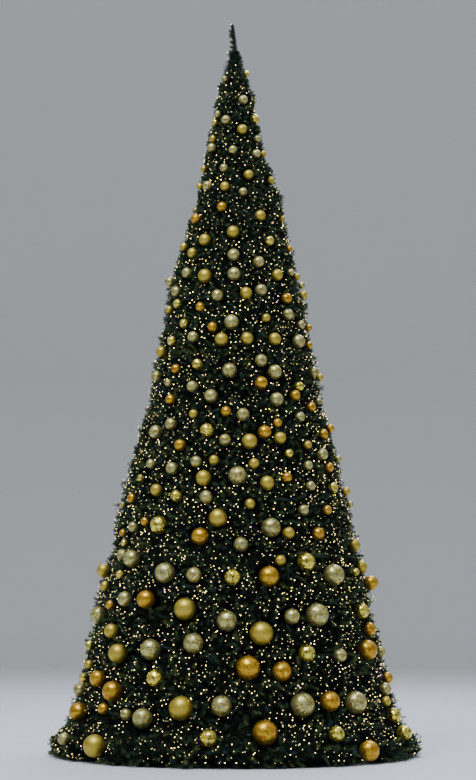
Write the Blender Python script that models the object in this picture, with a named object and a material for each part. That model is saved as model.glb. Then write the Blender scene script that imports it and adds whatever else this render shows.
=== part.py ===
"""A ten-metre artificial Christmas tree of the kind that stands in a town square.

A tapering steel mast stands in the socket of a plain six-armed stand. Round it the crown is
a slim cone of nine tiers and a leader. Each tier is a ring of separate masses of needle
foliage: a dense core, the stem that carries it and the toothed sprays that stand out of it.
The three lowest tiers hang on tapering boughs, and the stems of the others reach the mast.

Metres, +Z up. The origin is on the ground, on the mast's axis, under the stand.
"""

import math
import random

import bpy
from mathutils import Matrix, Vector

# The whole tree
HEIGHT = 10.0
SEED = 512
CLEARANCE = 0.0003

# The crown's outline: a straight cone, with a skirt that spreads on the ground, and swells
# that each have a height, a depth and a reach, inward where it is negative
CONE_SLOPE = 0.2265
SKIRT_SPREAD = 0.215
SKIRT_HEIGHT = 0.16
SKIRT_DEPTH = 0.22
SWELLS = (
    (2.20, 0.26, 0.040),
    (2.75, 0.26, -0.035),
    (4.65, 0.50, -0.025),
    (6.55, 0.60, 0.035),
    (7.95, 0.45, -0.022),
)
SIZE_HEIGHT = 0.5

# The tiers of foliage
CROWN_FOOT = 0.03
LEADER_FOOT = 9.30
TIER_CROWDING = 1.25
MASSES_IN_TIER = (6, 6, 5, 5, 4, 4, 3, 3, 2)
TIERS_ON_BOUGHS = 3
SEAM = 0.008

# The dense core of a mass
CORE_INSET = 0.065
CORE_INSET_SHARE = 0.045
CORE_INSET_MOST = 0.38
CORE_HOLLOW_SHARE = 0.55
CORE_HOLLOW_OFFSET = 0.12
CORE_TO_MAST = 0.03
CORE_ROUNDING = 0.05
CORE_RIM_POWER = 4
CORE_LUMP = 0.011
CORE_FACE = 0.55
CORE_LEAST_COLUMNS = 3
CORE_ROWS_IN_TIER = (3, 3, 3, 3, 3, 2, 2, 2, 2)

# The sprays
SPRAY_SPACING = 0.68
SPRAY_LENGTH = 0.72
SPRAY_TOP_SHARE = 0.40
SPRAY_WIDTH_SHARE = 0.72
SPRAY_THICKNESS_SHARE = 0.05
SPRAY_TEETH = ((0.60, 0.50), (0.66, 0.22), (0.83, 0.34), (0.87, 0.11))
SPRAY_RIDGE_AT = 0.62
SPRAY_ROW_AT = 0.72
SPRAY_PLAY_UP = 0.35
SPRAY_PLAY_ACROSS = 0.55
SPRAY_ROOT_TURN = 0.97
SPRAY_SINK = 0.17
SPRAY_SINK_MOST = 0.5
SPRAY_SHORTFALL = 0.045
SPRAY_DROP = (-0.75, -0.05)
SPRAY_SWING = 0.35
SPRAY_ROLL = math.radians(35)
SPRAY_TRIES = 24
SKIRT_SPRAYS = 4
SKIRT_SPRAY_LIFT = 0.06
SKIRT_SPRAY_ROOM = 0.1
SPACE_MARGIN = 0.004
SPACE_OVERSHOOT = 0.02

# The mast and its boughs
MAST_FOOT_RADIUS = 0.105
MAST_TIP_RADIUS = 0.018
MAST_SIDES = 12
BOUGH_ROOT_RADIUS = 0.042
BOUGH_TIP_RADIUS = 0.026
BOUGH_RISE = 0.10
BOUGH_BEND_AT = 0.45
BOUGH_SIDES = 8
STEM_SIDES = 6
STEM_TAPER = 0.8
STEM_MAST_SHARE = 2.5
STEM_STUB = 0.05
STEM_REACH = 0.22

# The stand
ROUND_SIDES = 24
PLATE_RADIUS = 0.30
PLATE_THICKNESS = 0.02
SOCKET_RADIUS = 0.15
SOCKET_HEIGHT = 0.45
ARM_COUNT = 6
ARM_LENGTH = 0.98
ARM_WIDTH = 0.08
ARM_HEIGHT = 0.12
ARM_LIFT = 0.004
ARM_IN_SOCKET = 0.03
PAD_SIDES = 12
PAD_RADIUS = 0.10
PAD_THICKNESS = 0.016
PAD_AT = 0.90
GUSSET_REACH = 0.52
GUSSET_TOP = 0.38
GUSSET_SUNK = 0.01
GUSSET_IN_SOCKET = 0.02
GUSSET_THICKNESS = 0.012
BORE_OVERSHOOT = 0.1

# The leader
LEADER_LEAN = Vector((-0.045, 0.0, 0.0))
LEADER_BOW = 0.4
LEADER_BENDS_AT = (0.0, 0.35, 0.7, 1.0)
LEADER_SIDES = 5
LEADER_RADIUS = 0.024
LEADER_TIP_RADIUS = 0.009
LEADER_SPRAYS = 12
LEADER_SPRAY_LOW = 0.06
LEADER_SPRAY_HIGH = 0.12
LEADER_SPRAY_CROWDING = 1.25
LEADER_SPRAY_PLAY = 0.3
LEADER_SPRAY_MOST = 0.14
LEADER_SPRAY_LEAST = 0.032
LEADER_SPRAY_CLOSING = 1.5
LEADER_SPRAY_RISE = (0.13, 0.07)
LEADER_SPRAY_ROOT = (-0.006, -0.01)
LEADER_SPRAY_WIDTH = 0.45
GOLDEN_ANGLE = math.pi * (3 - math.sqrt(5))

FOLIAGE_COLOUR = (0.025, 0.060, 0.030, 1.0)
BOUGH_COLOUR = (0.035, 0.050, 0.032, 1.0)
MAST_COLOUR = (0.040, 0.055, 0.038, 1.0)
STAND_COLOUR = (0.030, 0.033, 0.032, 1.0)


# Scene and materials


def clear_scene():
    """Removes every object of the startup file."""
    for obj in list(bpy.data.objects):
        bpy.data.objects.remove(obj)


def make_material(name, colour, roughness, metallic=0.0):
    """A plain Principled material."""
    material = bpy.data.materials.new(name)
    material.use_nodes = True
    shader = material.node_tree.nodes["Principled BSDF"]
    shader.inputs["Base Color"].default_value = colour
    shader.inputs["Roughness"].default_value = roughness
    shader.inputs["Metallic"].default_value = metallic
    return material


def add_object(name, vertices, faces, material=None, collection=None):
    """An object from points and faces, in the scene's collection or in another one."""
    mesh = bpy.data.meshes.new(name)
    mesh.from_pydata(vertices, [], faces)
    mesh.validate()
    mesh.update()
    obj = bpy.data.objects.new(name, mesh)
    (collection or bpy.context.scene.collection).objects.link(obj)
    if material:
        mesh.materials.append(material)
    return obj


def shade_round(obj, degrees=40):
    """Smooth shading that keeps the edges sharper than the given angle."""
    obj.data.shade_smooth()
    obj.data.set_sharp_from_angle(angle=math.radians(degrees))


def fuse(obj, pieces_collection, solver="EXACT"):
    """Joins a collection's objects to obj with one Boolean union, and removes them."""
    union = obj.modifiers.new("fuse", "BOOLEAN")
    union.operation = "UNION"
    union.operand_type = "COLLECTION"
    union.collection = pieces_collection
    union.solver = solver
    bpy.context.view_layer.update()
    graph = bpy.context.evaluated_depsgraph_get()
    fused = bpy.data.meshes.new_from_object(obj.evaluated_get(graph))
    obj.modifiers.clear()
    obj.data = fused
    for piece in list(pieces_collection.objects):
        bpy.data.objects.remove(piece)
    bpy.data.collections.remove(pieces_collection)


def work_collection(name):
    """A collection of pieces that wait to be fused."""
    collection = bpy.data.collections.new(name)
    bpy.context.scene.collection.children.link(collection)
    return collection


# The sizes that follow from the driving ones


def tier_floor(tier):
    """Height of a tier's lower edge: the tiers get lower towards the top."""
    share = 1 - (1 - tier / len(MASSES_IN_TIER)) ** TIER_CROWDING
    return CROWN_FOOT + (LEADER_FOOT - CROWN_FOOT) * share


def crown_radius(z):
    """Radius that the tips of the foliage reach at height z."""
    skirt = SKIRT_SPREAD * math.exp(-(((z - SKIRT_HEIGHT) / SKIRT_DEPTH) ** 2))
    swells = sum(reach * math.exp(-(((z - at_z) / depth) ** 2)) for at_z, depth, reach in SWELLS)
    return CONE_SLOPE * (HEIGHT - z) + skirt + swells


def core_radius(z):
    """Outer radius of the dense cores at height z."""
    cone = CONE_SLOPE * (HEIGHT - z)
    past_cone = crown_radius(z) - cone
    inset = min(CORE_INSET + CORE_INSET_SHARE * cone, CORE_INSET_MOST * cone)
    return cone - inset + past_cone / 2


def mast_radius(z):
    """Radius of the mast's corners: straight in the socket, then tapering to the tip."""
    share = max(0.0, (z - SOCKET_HEIGHT) / (LEADER_FOOT - SOCKET_HEIGHT))
    return MAST_FOOT_RADIUS + (MAST_TIP_RADIUS - MAST_FOOT_RADIUS) * share


def hollow_radius(z):
    """Inner radius of the dense cores at height z."""
    open_radius = CORE_HOLLOW_SHARE * crown_radius(z) - CORE_HOLLOW_OFFSET
    return max(mast_radius(z) + CORE_TO_MAST, open_radius)


def mast_reach(azimuth, z):
    """Distance from the axis to the mast's furthest corner in the direction azimuth."""
    corners = (2 * math.pi * k / MAST_SIDES for k in range(MAST_SIDES))
    return mast_radius(z) * max(math.cos(azimuth - corner) for corner in corners)


def at(azimuth, radius, z):
    """A point by its azimuth, its distance from the axis and its height."""
    return Vector((radius * math.cos(azimuth), radius * math.sin(azimuth), z))


def blend(a, b, share):
    """The number a share of the way from a to b."""
    return a + (b - a) * share


# Limbs


def limb_shape(points, radii, sides):
    """Vertices and faces of a tapering limb: a ring of corners round each point of its path."""
    vertices = []
    tangent = (points[1] - points[0]).normalized()
    across = tangent.cross(Vector((0, 0, 1)))
    across = across.normalized() if across.length > 1e-3 else Vector((1, 0, 0))
    for i, (point, radius) in enumerate(zip(points, radii)):
        ahead = points[min(i + 1, len(points) - 1)] - points[max(i - 1, 0)]
        if i == 0:
            ahead = points[1] - points[0]
        tangent = ahead.normalized()
        across = (across - tangent * across.dot(tangent)).normalized()
        up = tangent.cross(across)
        for k in range(sides):
            turn = 2 * math.pi * k / sides
            vertices.append(point + (across * math.cos(turn) + up * math.sin(turn)) * radius)
    faces = [tuple(range(sides))[::-1]]
    for i in range(len(points) - 1):
        for k in range(sides):
            a, b = i * sides + k, i * sides + (k + 1) % sides
            faces.append((a, b, b + sides, a + sides))
    last = (len(points) - 1) * sides
    faces.append(tuple(range(last, last + sides)))
    return vertices, faces


def make_mast(material):
    """The mast, from its flat cut in the socket to its tip under the leader."""
    heights = (PLATE_THICKNESS + CLEARANCE, SOCKET_HEIGHT, LEADER_FOOT)
    corners = []
    for z in heights:
        corners += [at(2 * math.pi * k / MAST_SIDES, mast_radius(z), z) for k in range(MAST_SIDES)]
    faces = [tuple(range(MAST_SIDES))[::-1]]
    for i in range(len(heights) - 1):
        for k in range(MAST_SIDES):
            a, b = i * MAST_SIDES + k, i * MAST_SIDES + (k + 1) % MAST_SIDES
            faces.append((a, b, b + MAST_SIDES, a + MAST_SIDES))
    faces.append(tuple(range(len(corners) - MAST_SIDES, len(corners))))
    mast = add_object("mast", corners, faces, material)
    shade_round(mast)
    return mast


def bough_path(azimuth, z):
    """Start, bend and tip of the bough that carries the mass at this azimuth and height."""
    start = mast_reach(azimuth, z - BOUGH_RISE - BOUGH_ROOT_RADIUS) + CLEARANCE
    tip = hollow_radius(z) - STEM_STUB
    middle = blend(start, tip, BOUGH_BEND_AT)
    foot = z - BOUGH_RISE
    return [at(azimuth, start, foot), at(azimuth, middle, foot), at(azimuth, tip, z)]


def make_bough(name, azimuth, z, material):
    """One tapering bough from the mast to the stem of its mass."""
    radii = [blend(BOUGH_ROOT_RADIUS, BOUGH_TIP_RADIUS, share) for share in (0, BOUGH_BEND_AT, 1)]
    vertices, faces = limb_shape(bough_path(azimuth, z), radii, BOUGH_SIDES)
    bough = add_object(name, vertices, faces, material)
    shade_round(bough)
    return bough


# Foliage


def core_shape(z_low, z_high, azimuth_low, azimuth_high, columns, rows, dice):
    """A block of a ring, rounded at its rims and a little lumpy, as vertices and faces."""
    vertices = []
    for outer in (True, False):
        for j in range(rows + 1):
            for i in range(columns + 1):
                across, up = i / columns, j / rows
                azimuth = blend(azimuth_low, azimuth_high, across)
                z = blend(z_low, z_high, up)
                radius = core_radius(z) if outer else hollow_radius(z)
                rim = max(abs(2 * across - 1), abs(2 * up - 1)) ** CORE_RIM_POWER
                if outer:
                    radius -= (radius - hollow_radius(z)) * CORE_ROUNDING * rim
                    radius += dice.uniform(-1, 1) * CORE_LUMP * (1 + core_radius(z))
                vertices.append(at(azimuth, radius, z))
    side = (rows + 1) * (columns + 1)

    def corner(i, j, inner):
        return inner * side + j * (columns + 1) + i

    faces = []
    for j in range(rows):
        for i in range(columns):
            square = [(i, j), (i + 1, j), (i + 1, j + 1), (i, j + 1)]
            faces.append([corner(a, b, 0) for a, b in square])
            faces.append([corner(a, b, 1) for a, b in reversed(square)])
    for i in range(columns):
        faces.append([corner(i, 0, 0), corner(i, 0, 1), corner(i + 1, 0, 1), corner(i + 1, 0, 0)])
        faces.append(
            [corner(i + 1, rows, 0), corner(i + 1, rows, 1), corner(i, rows, 1), corner(i, rows, 0)]
        )
    for j in range(rows):
        faces.append([corner(0, j + 1, 0), corner(0, j + 1, 1), corner(0, j, 1), corner(0, j, 0)])
        faces.append(
            [
                corner(columns, j, 0),
                corner(columns, j, 1),
                corner(columns, j + 1, 1),
                corner(columns, j + 1, 0),
            ]
        )
    return vertices, faces


def spray_shape(root, tip, width, roll):
    """A toothed blade of needles from root to tip: a rim with two pairs of teeth and a tip,
    and a low ridge above and below it."""
    length = (tip - root).length
    along = (tip - root).normalized()
    level = along.cross(Vector((0, 0, 1)))
    level = level.normalized() if level.length > 1e-3 else Vector((1, 0, 0))
    across = Matrix.Rotation(roll, 3, along) @ level
    normal = along.cross(across)
    rim = [(0.0, 0.0), *SPRAY_TEETH, (1.0, 0.0)] + [(x, -y) for x, y in reversed(SPRAY_TEETH)]
    vertices = [root + along * length * x + across * width * y for x, y in rim]
    ridge = root + along * length * SPRAY_RIDGE_AT
    lift = normal * length * SPRAY_THICKNESS_SHARE / 2
    count = len(rim)
    vertices += [ridge + lift, ridge - lift]
    faces = []
    for k in range(count):
        following = (k + 1) % count
        faces.append((following, k, count))
        faces.append((k, following, count + 1))
    return vertices, faces


def in_space(points, z_low, z_high, middle, half_angle):
    """Whether the points lie in a mass's own share of the crown."""
    for point in points:
        radius = math.hypot(point.x, point.y)
        turn = math.atan2(point.y, point.x) - middle
        turn = abs((turn + math.pi) % (2 * math.pi) - math.pi)
        if not z_low + SPACE_MARGIN <= point.z <= z_high - SPACE_MARGIN:
            return False
        if radius > crown_radius(point.z) + SPACE_OVERSHOOT:
            return False
        if half_angle < math.pi and (half_angle - turn) * radius < SPACE_MARGIN:
            return False
    return True


def spray_places(z_low, z_high, half_angle, spacing):
    """Height and turn of each spray's foot in a jittered grid, with the room round it."""
    rows = max(2, round((z_high - z_low) / spacing))
    for j in range(rows):
        z = blend(z_low, z_high, (j + SPRAY_ROW_AT) / rows)
        columns = max(2, round(2 * half_angle * crown_radius(z) / spacing))
        for i in range(columns):
            turn = (2 * (i + 0.5) / columns - 1) * half_angle
            yield z, turn, (z_high - z_low) / rows, half_angle / columns


def make_spray(place, length, middle, half_angle, dice):
    """One spray near its place in the grid: root in the core, tip at the crown's outline."""
    z, turn, high, wide = place
    z += dice.uniform(-SPRAY_PLAY_UP, SPRAY_PLAY_UP) * high
    turn += dice.uniform(-SPRAY_PLAY_ACROSS, SPRAY_PLAY_ACROSS) * wide
    sunk = min(SPRAY_SINK, SPRAY_SINK_MOST * (core_radius(z) - hollow_radius(z)))
    root = at(middle + turn * SPRAY_ROOT_TURN, core_radius(z) - sunk, z)
    tip_z = z + dice.uniform(*SPRAY_DROP) * length
    tip_radius = crown_radius(tip_z) - dice.uniform(0, SPRAY_SHORTFALL)
    swing = dice.uniform(-SPRAY_SWING, SPRAY_SWING) * length
    tip = at(middle + turn + swing / tip_radius, tip_radius, tip_z)
    width = min(length, (tip - root).length) * SPRAY_WIDTH_SHARE
    return spray_shape(root, tip, width, dice.uniform(-SPRAY_ROLL, SPRAY_ROLL))


def add_sprays(name, tier, middle, dice, collection):
    """Toothed sprays over a core's outer face, each wholly inside the mass's own space."""
    z_low, z_high = tier_floor(tier), tier_floor(tier + 1)
    half_angle = math.pi / MASSES_IN_TIER[tier]
    wide = crown_radius((z_low + z_high) / 2) / crown_radius(SIZE_HEIGHT)
    size = blend(SPRAY_TOP_SHARE, 1.0, wide)
    places = list(spray_places(z_low, z_high, half_angle, SPRAY_SPACING * size))
    if tier == 0:
        step = 2 * half_angle / SKIRT_SPRAYS
        turns = [(k + 0.5) * step - half_angle for k in range(SKIRT_SPRAYS)]
        z = SKIRT_HEIGHT + SKIRT_SPRAY_LIFT
        places += [(z, turn, SKIRT_SPRAY_ROOM, step / 4) for turn in turns]
    count = 0
    for place in places:
        for _ in range(SPRAY_TRIES):
            vertices, faces = make_spray(place, SPRAY_LENGTH * size, middle, half_angle, dice)
            if in_space(vertices, z_low, z_high, middle, half_angle):
                add_object(f"{name}_spray_{count}", vertices, faces, None, collection)
                count += 1
                break


def make_mass(name, tier, index, material):
    """One mass of foliage: its core, stem and sprays, fused into one solid."""
    dice = random.Random(SEED + 100 * tier + index)
    z_low, z_high = tier_floor(tier), tier_floor(tier + 1)
    sectors = MASSES_IN_TIER[tier]
    middle = mass_azimuth(tier, index)
    half_angle = math.pi / sectors
    middle_z = (z_low + z_high) / 2
    seam_angle = SEAM / core_radius(middle_z)
    columns = round(2 * half_angle * core_radius(middle_z) / CORE_FACE)
    core = core_shape(
        z_low + SEAM,
        z_high - SEAM,
        middle - half_angle + seam_angle,
        middle + half_angle - seam_angle,
        max(CORE_LEAST_COLUMNS, columns),
        CORE_ROWS_IN_TIER[tier],
        dice,
    )
    mass = add_object(name, *core, material)
    pieces = work_collection(name + "_pieces")
    stem = stem_path(tier, middle, middle_z)
    radii = [BOUGH_TIP_RADIUS, BOUGH_TIP_RADIUS * STEM_TAPER]
    if tier >= TIERS_ON_BOUGHS:
        slim = min(1.0, mast_radius(middle_z) / BOUGH_TIP_RADIUS / STEM_MAST_SHARE)
        radii = [radius * slim for radius in radii]
    add_object(name + "_stem", *limb_shape(stem, radii, STEM_SIDES), None, pieces)
    add_sprays(name, tier, middle, dice, pieces)
    fuse(mass, pieces)
    return mass


def mass_azimuth(tier, index):
    """Azimuth of a mass's middle: each tier is turned half a mass against the one below."""
    sectors = MASSES_IN_TIER[tier]
    return 2 * math.pi * (index + (0.5 if tier % 2 else 0.0)) / sectors - math.pi / 2


def stem_path(tier, azimuth, z):
    """Start and end of a mass's stem, which carries on from its bough or leaves the mast."""
    end = at(azimuth, hollow_radius(z) + STEM_REACH * min(1.0, core_radius(z)), z)
    if tier >= TIERS_ON_BOUGHS:
        start = mast_reach(azimuth, z - BOUGH_TIP_RADIUS) + CLEARANCE
        return [at(azimuth, start, z), end]
    bend, tip = bough_path(azimuth, z)[1:]
    start = tip + (tip - bend).normalized() * CLEARANCE
    return [start, start + (tip - bend).normalized() * (STEM_STUB + STEM_REACH)]


def leader_point(share):
    """The leader's middle a share of the way up: it leans, and bows to the other side."""
    foot = Vector((0, 0, LEADER_FOOT + CLEARANCE))
    bow = LEADER_LEAN * LEADER_BOW * math.sin(math.pi * share)
    return foot.lerp(Vector((0, 0, HEIGHT)) + LEADER_LEAN, share) - bow


def make_leader_spray(index, dice, collection):
    """One short spray: they turn round the leader by the golden angle and close in upwards."""
    share = (index / (LEADER_SPRAYS - 1)) ** LEADER_SPRAY_CROWDING
    z = blend(LEADER_FOOT + LEADER_SPRAY_LOW, HEIGHT - LEADER_SPRAY_HIGH, share)
    centre = leader_point((z - LEADER_FOOT) / (HEIGHT - LEADER_FOOT))
    azimuth = index * GOLDEN_ANGLE + dice.uniform(-LEADER_SPRAY_PLAY, LEADER_SPRAY_PLAY)
    spread = min(LEADER_SPRAY_MOST, crown_radius(z)) * (1 - share) ** LEADER_SPRAY_CLOSING
    tip = centre + at(azimuth, max(LEADER_SPRAY_LEAST, spread), blend(*LEADER_SPRAY_RISE, share))
    root = centre + at(azimuth, *LEADER_SPRAY_ROOT)
    width = (tip - root).length * LEADER_SPRAY_WIDTH
    shape = spray_shape(root, tip, width, dice.uniform(-1, 1))
    add_object(f"leader_spray_{index}", *shape, None, collection)


def make_leader(material):
    """The slim leader over the mast's tip, with short sprays."""
    dice = random.Random(SEED)
    path = [leader_point(share) for share in LEADER_BENDS_AT]
    path[1].x = 0.0
    radii = [blend(LEADER_RADIUS, LEADER_TIP_RADIUS, share) for share in LEADER_BENDS_AT]
    leader = add_object("leader", *limb_shape(path, radii, LEADER_SIDES), material)
    pieces = work_collection("leader_pieces")
    for index in range(LEADER_SPRAYS):
        make_leader_spray(index, dice, pieces)
    fuse(leader, pieces)
    return leader


# Stand


def prism(name, outline, z_low, z_high, collection):
    """An upright prism over a flat outline."""
    count = len(outline)
    vertices = [(x, y, z_low) for x, y in outline] + [(x, y, z_high) for x, y in outline]
    faces = [tuple(range(count))[::-1], tuple(range(count, 2 * count))]
    for k in range(count):
        following = (k + 1) % count
        faces.append((k, following, following + count, k + count))
    return add_object(name, vertices, faces, None, collection)


def ring(radius, sides, centre=(0.0, 0.0)):
    """The corners of a regular outline."""
    turns = [2 * math.pi * k / sides for k in range(sides)]
    return [(centre[0] + radius * math.cos(t), centre[1] + radius * math.sin(t)) for t in turns]


def make_arm(index, collection):
    """One arm of the stand: a beam, its levelling pad and the gusset that braces the socket."""
    turn = Matrix.Rotation(2 * math.pi * (index + 0.5) / ARM_COUNT, 4, "Z")
    half = ARM_WIDTH / 2
    inner = SOCKET_RADIUS - ARM_IN_SOCKET
    beam = [(inner, -half), (ARM_LENGTH, -half), (ARM_LENGTH, half), (inner, half)]
    arm = [prism("arm", beam, ARM_LIFT, ARM_HEIGHT, collection)]
    pad = ring(PAD_RADIUS, PAD_SIDES, (PAD_AT, 0.0))
    arm.append(prism("pad", pad, 0.0, PAD_THICKNESS, collection))
    low, high = ARM_HEIGHT - GUSSET_SUNK, ARM_HEIGHT + GUSSET_SUNK
    deep = SOCKET_RADIUS - GUSSET_IN_SOCKET
    side = [(deep, low), (GUSSET_REACH, low), (GUSSET_REACH, high), (deep, GUSSET_TOP)]
    thick = GUSSET_THICKNESS / 2
    vertices = [(x, -thick, z) for x, z in side] + [(x, thick, z) for x, z in side]
    faces = [(0, 1, 2, 3), (7, 6, 5, 4)]
    faces += [((k + 1) % 4, k, k + 4, (k + 1) % 4 + 4) for k in range(4)]
    arm.append(add_object("gusset", vertices, faces, None, collection))
    for piece in arm:
        piece.data.transform(turn)


def make_stand(material):
    """The stand: a ground plate, a socket for the mast and six braced arms, as one solid."""
    pieces = work_collection("stand_pieces")
    prism("plate", ring(PLATE_RADIUS, ROUND_SIDES), 0.0, PLATE_THICKNESS, pieces)
    for index in range(ARM_COUNT):
        make_arm(index, pieces)
    outline = ring(SOCKET_RADIUS, ROUND_SIDES)
    socket = prism("stand", outline, PLATE_THICKNESS / 2, SOCKET_HEIGHT, None)
    socket.data.materials.append(material)
    fuse(socket, pieces)
    flat = math.cos(math.pi / MAST_SIDES)
    bore = ring(MAST_FOOT_RADIUS + CLEARANCE / flat, MAST_SIDES)
    cutter = prism("stand_bore", bore, PLATE_THICKNESS, SOCKET_HEIGHT + BORE_OVERSHOOT, None)
    cutter.hide_render = True
    cutter.display_type = "WIRE"
    cut = socket.modifiers.new("bore", "BOOLEAN")
    cut.operation = "DIFFERENCE"
    cut.object = cutter
    cut.solver = "EXACT"
    return socket


def main():
    """Builds the stand, the mast, the boughs, the masses of foliage and the leader."""
    clear_scene()
    foliage = make_material("foliage", FOLIAGE_COLOUR, roughness=0.75)
    painted_bough = make_material("painted_bough", BOUGH_COLOUR, roughness=0.55)
    painted_mast = make_material("painted_mast", MAST_COLOUR, roughness=0.45, metallic=0.3)
    painted_stand = make_material("painted_stand", STAND_COLOUR, roughness=0.5, metallic=0.4)
    make_stand(painted_stand)
    make_mast(painted_mast)
    for tier, sectors in enumerate(MASSES_IN_TIER):
        middle_z = (tier_floor(tier) + tier_floor(tier + 1)) / 2
        for index in range(sectors):
            if tier < TIERS_ON_BOUGHS:
                azimuth = mass_azimuth(tier, index)
                make_bough(f"bough_{tier + 1}_{index + 1}", azimuth, middle_z, painted_bough)
            make_mass(f"foliage_{tier + 1}_{index + 1}", tier, index, foliage)
    make_leader(foliage)


main()
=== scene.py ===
"""Dresses a ten-metre artificial Christmas tree: needles, baubles, light strings and painted steel.

Metres, +Z up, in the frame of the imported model. The side that the photograph shows faces -Y.
"""

import logging
import math
from collections.abc import Iterator, Sequence
from dataclasses import dataclass, field
from enum import Enum

import bpy
import numpy as np
from mathutils import Matrix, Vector
from mathutils.kdtree import KDTree
from numpy.typing import NDArray


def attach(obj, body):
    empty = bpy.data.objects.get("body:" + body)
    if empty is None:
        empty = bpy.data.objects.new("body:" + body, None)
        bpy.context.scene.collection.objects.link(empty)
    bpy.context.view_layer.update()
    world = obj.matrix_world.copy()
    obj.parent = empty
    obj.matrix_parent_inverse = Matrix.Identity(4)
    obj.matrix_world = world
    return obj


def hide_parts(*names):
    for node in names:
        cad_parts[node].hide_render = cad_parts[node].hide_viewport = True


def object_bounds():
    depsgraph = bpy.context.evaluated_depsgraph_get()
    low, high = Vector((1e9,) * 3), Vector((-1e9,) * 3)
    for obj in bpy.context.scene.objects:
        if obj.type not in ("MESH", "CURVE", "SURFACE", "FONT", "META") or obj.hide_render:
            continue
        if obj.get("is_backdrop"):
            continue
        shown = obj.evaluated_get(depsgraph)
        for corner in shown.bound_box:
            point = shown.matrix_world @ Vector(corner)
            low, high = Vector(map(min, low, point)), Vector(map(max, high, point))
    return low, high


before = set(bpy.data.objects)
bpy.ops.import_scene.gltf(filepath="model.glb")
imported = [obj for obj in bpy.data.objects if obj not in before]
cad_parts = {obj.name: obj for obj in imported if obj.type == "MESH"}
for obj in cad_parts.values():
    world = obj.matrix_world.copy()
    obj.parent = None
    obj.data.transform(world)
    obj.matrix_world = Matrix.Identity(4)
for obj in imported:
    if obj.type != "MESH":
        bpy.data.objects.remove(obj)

Array = NDArray[np.float64]
Whole = NDArray[np.int64]
Truth = NDArray[np.bool_]
Dice = np.random.Generator
Material = bpy.types.Material
NodeTree = bpy.types.NodeTree
Pair = tuple[float, float]
Triple = tuple[float, float, float]
Colour = Triple
Profile = tuple[Pair, ...]

CAD_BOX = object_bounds()
TURN = 2 * math.pi
GOLDEN_ANGLE = math.pi * (3.0 - math.sqrt(5.0))
ASIDE = np.array([1.0, 0.0, 0.0])
UP = np.array([0.0, 0.0, 1.0])
LEVEL = np.array([1.0, 1.0, 0.0])
NEARLY_UPRIGHT = 0.9
STEEP = 0.8
SHARP_ANGLE = math.radians(50)
BODY = "root"
PLACE = "pattern_place"

log = logging.getLogger("christmas_tree")


# Arithmetic on whole arrays


def unit(vectors: Array) -> Array:
    """Vectors scaled to length one."""
    return vectors / np.maximum(np.linalg.norm(vectors, axis=-1, keepdims=True), 1e-12)


def blend(a: Array | float, b: Array | float, share: Array | float) -> Array | float:
    """The value a share of the way from a to b."""
    return a + (b - a) * share


def at(azimuth: Array | float, radius: Array | float, z: Array | float) -> Array:
    """Points by azimuth, distance from the mast's axis and height."""
    azimuth, radius, z = np.broadcast_arrays(azimuth, radius, z)
    return np.stack([radius * np.cos(azimuth), radius * np.sin(azimuth), z], axis=-1)


def frames_along(axes: Array, rolls: Array | float = 0.0) -> Array:
    """Turned frames whose third axis lies along the given directions.

    The first axis is level, square to the direction, and is then rolled round it.

    Args:
        axes: Directions, one row each.
        rolls: Angle round the direction, in radians, one each or one for all.

    Returns:
        Matrices whose columns are the three axes.
    """
    third = unit(axes)
    helper = np.where(np.abs(third[:, 2:3]) > NEARLY_UPRIGHT, ASIDE, UP)
    first = unit(np.cross(helper, third))
    second = np.cross(third, first)
    roll = np.broadcast_to(rolls, len(axes))[:, None]
    cos, sin = np.cos(roll), np.sin(roll)
    return np.stack([first * cos + second * sin, second * cos - first * sin, third], axis=-1)


# Objects and shapes


def new_object(name: str, data: bpy.types.ID) -> bpy.types.Object:
    """Puts a mesh, a light or a camera into the scene.

    Args:
        name: The new object's name.
        data: What it shows.

    Returns:
        The object.
    """
    obj = bpy.data.objects.new(name, data)
    bpy.context.scene.collection.objects.link(obj)
    return obj


@dataclass(frozen=True)
class Shape:
    """Points with the triangles and quads between them."""

    points: Array
    triangles: Whole = field(default_factory=lambda: np.empty((0, 3), int))
    quads: Whole = field(default_factory=lambda: np.empty((0, 4), int))

    def copies(self, places: Array, frames: Array, sizes: Array | float = 1.0) -> "Shape":
        """The shape copied to many places: each copy is turned, scaled and moved as a whole.

        Args:
            places: Where each copy's origin goes.
            frames: Each copy's turning matrix.
            sizes: Each copy's scale, or one for all.

        Returns:
            One shape that holds every copy.
        """
        sizes = np.broadcast_to(np.reshape(sizes, (-1, 1)), (len(places), 3))
        turned = np.einsum("nij,nj,mj->nmi", frames, sizes, self.points)
        shift = np.arange(len(places))[:, None, None] * len(self.points)
        return Shape(
            (turned + places[:, None]).reshape(-1, 3),
            (self.triangles[None] + shift).reshape(-1, 3),
            (self.quads[None] + shift).reshape(-1, 4),
        )


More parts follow.
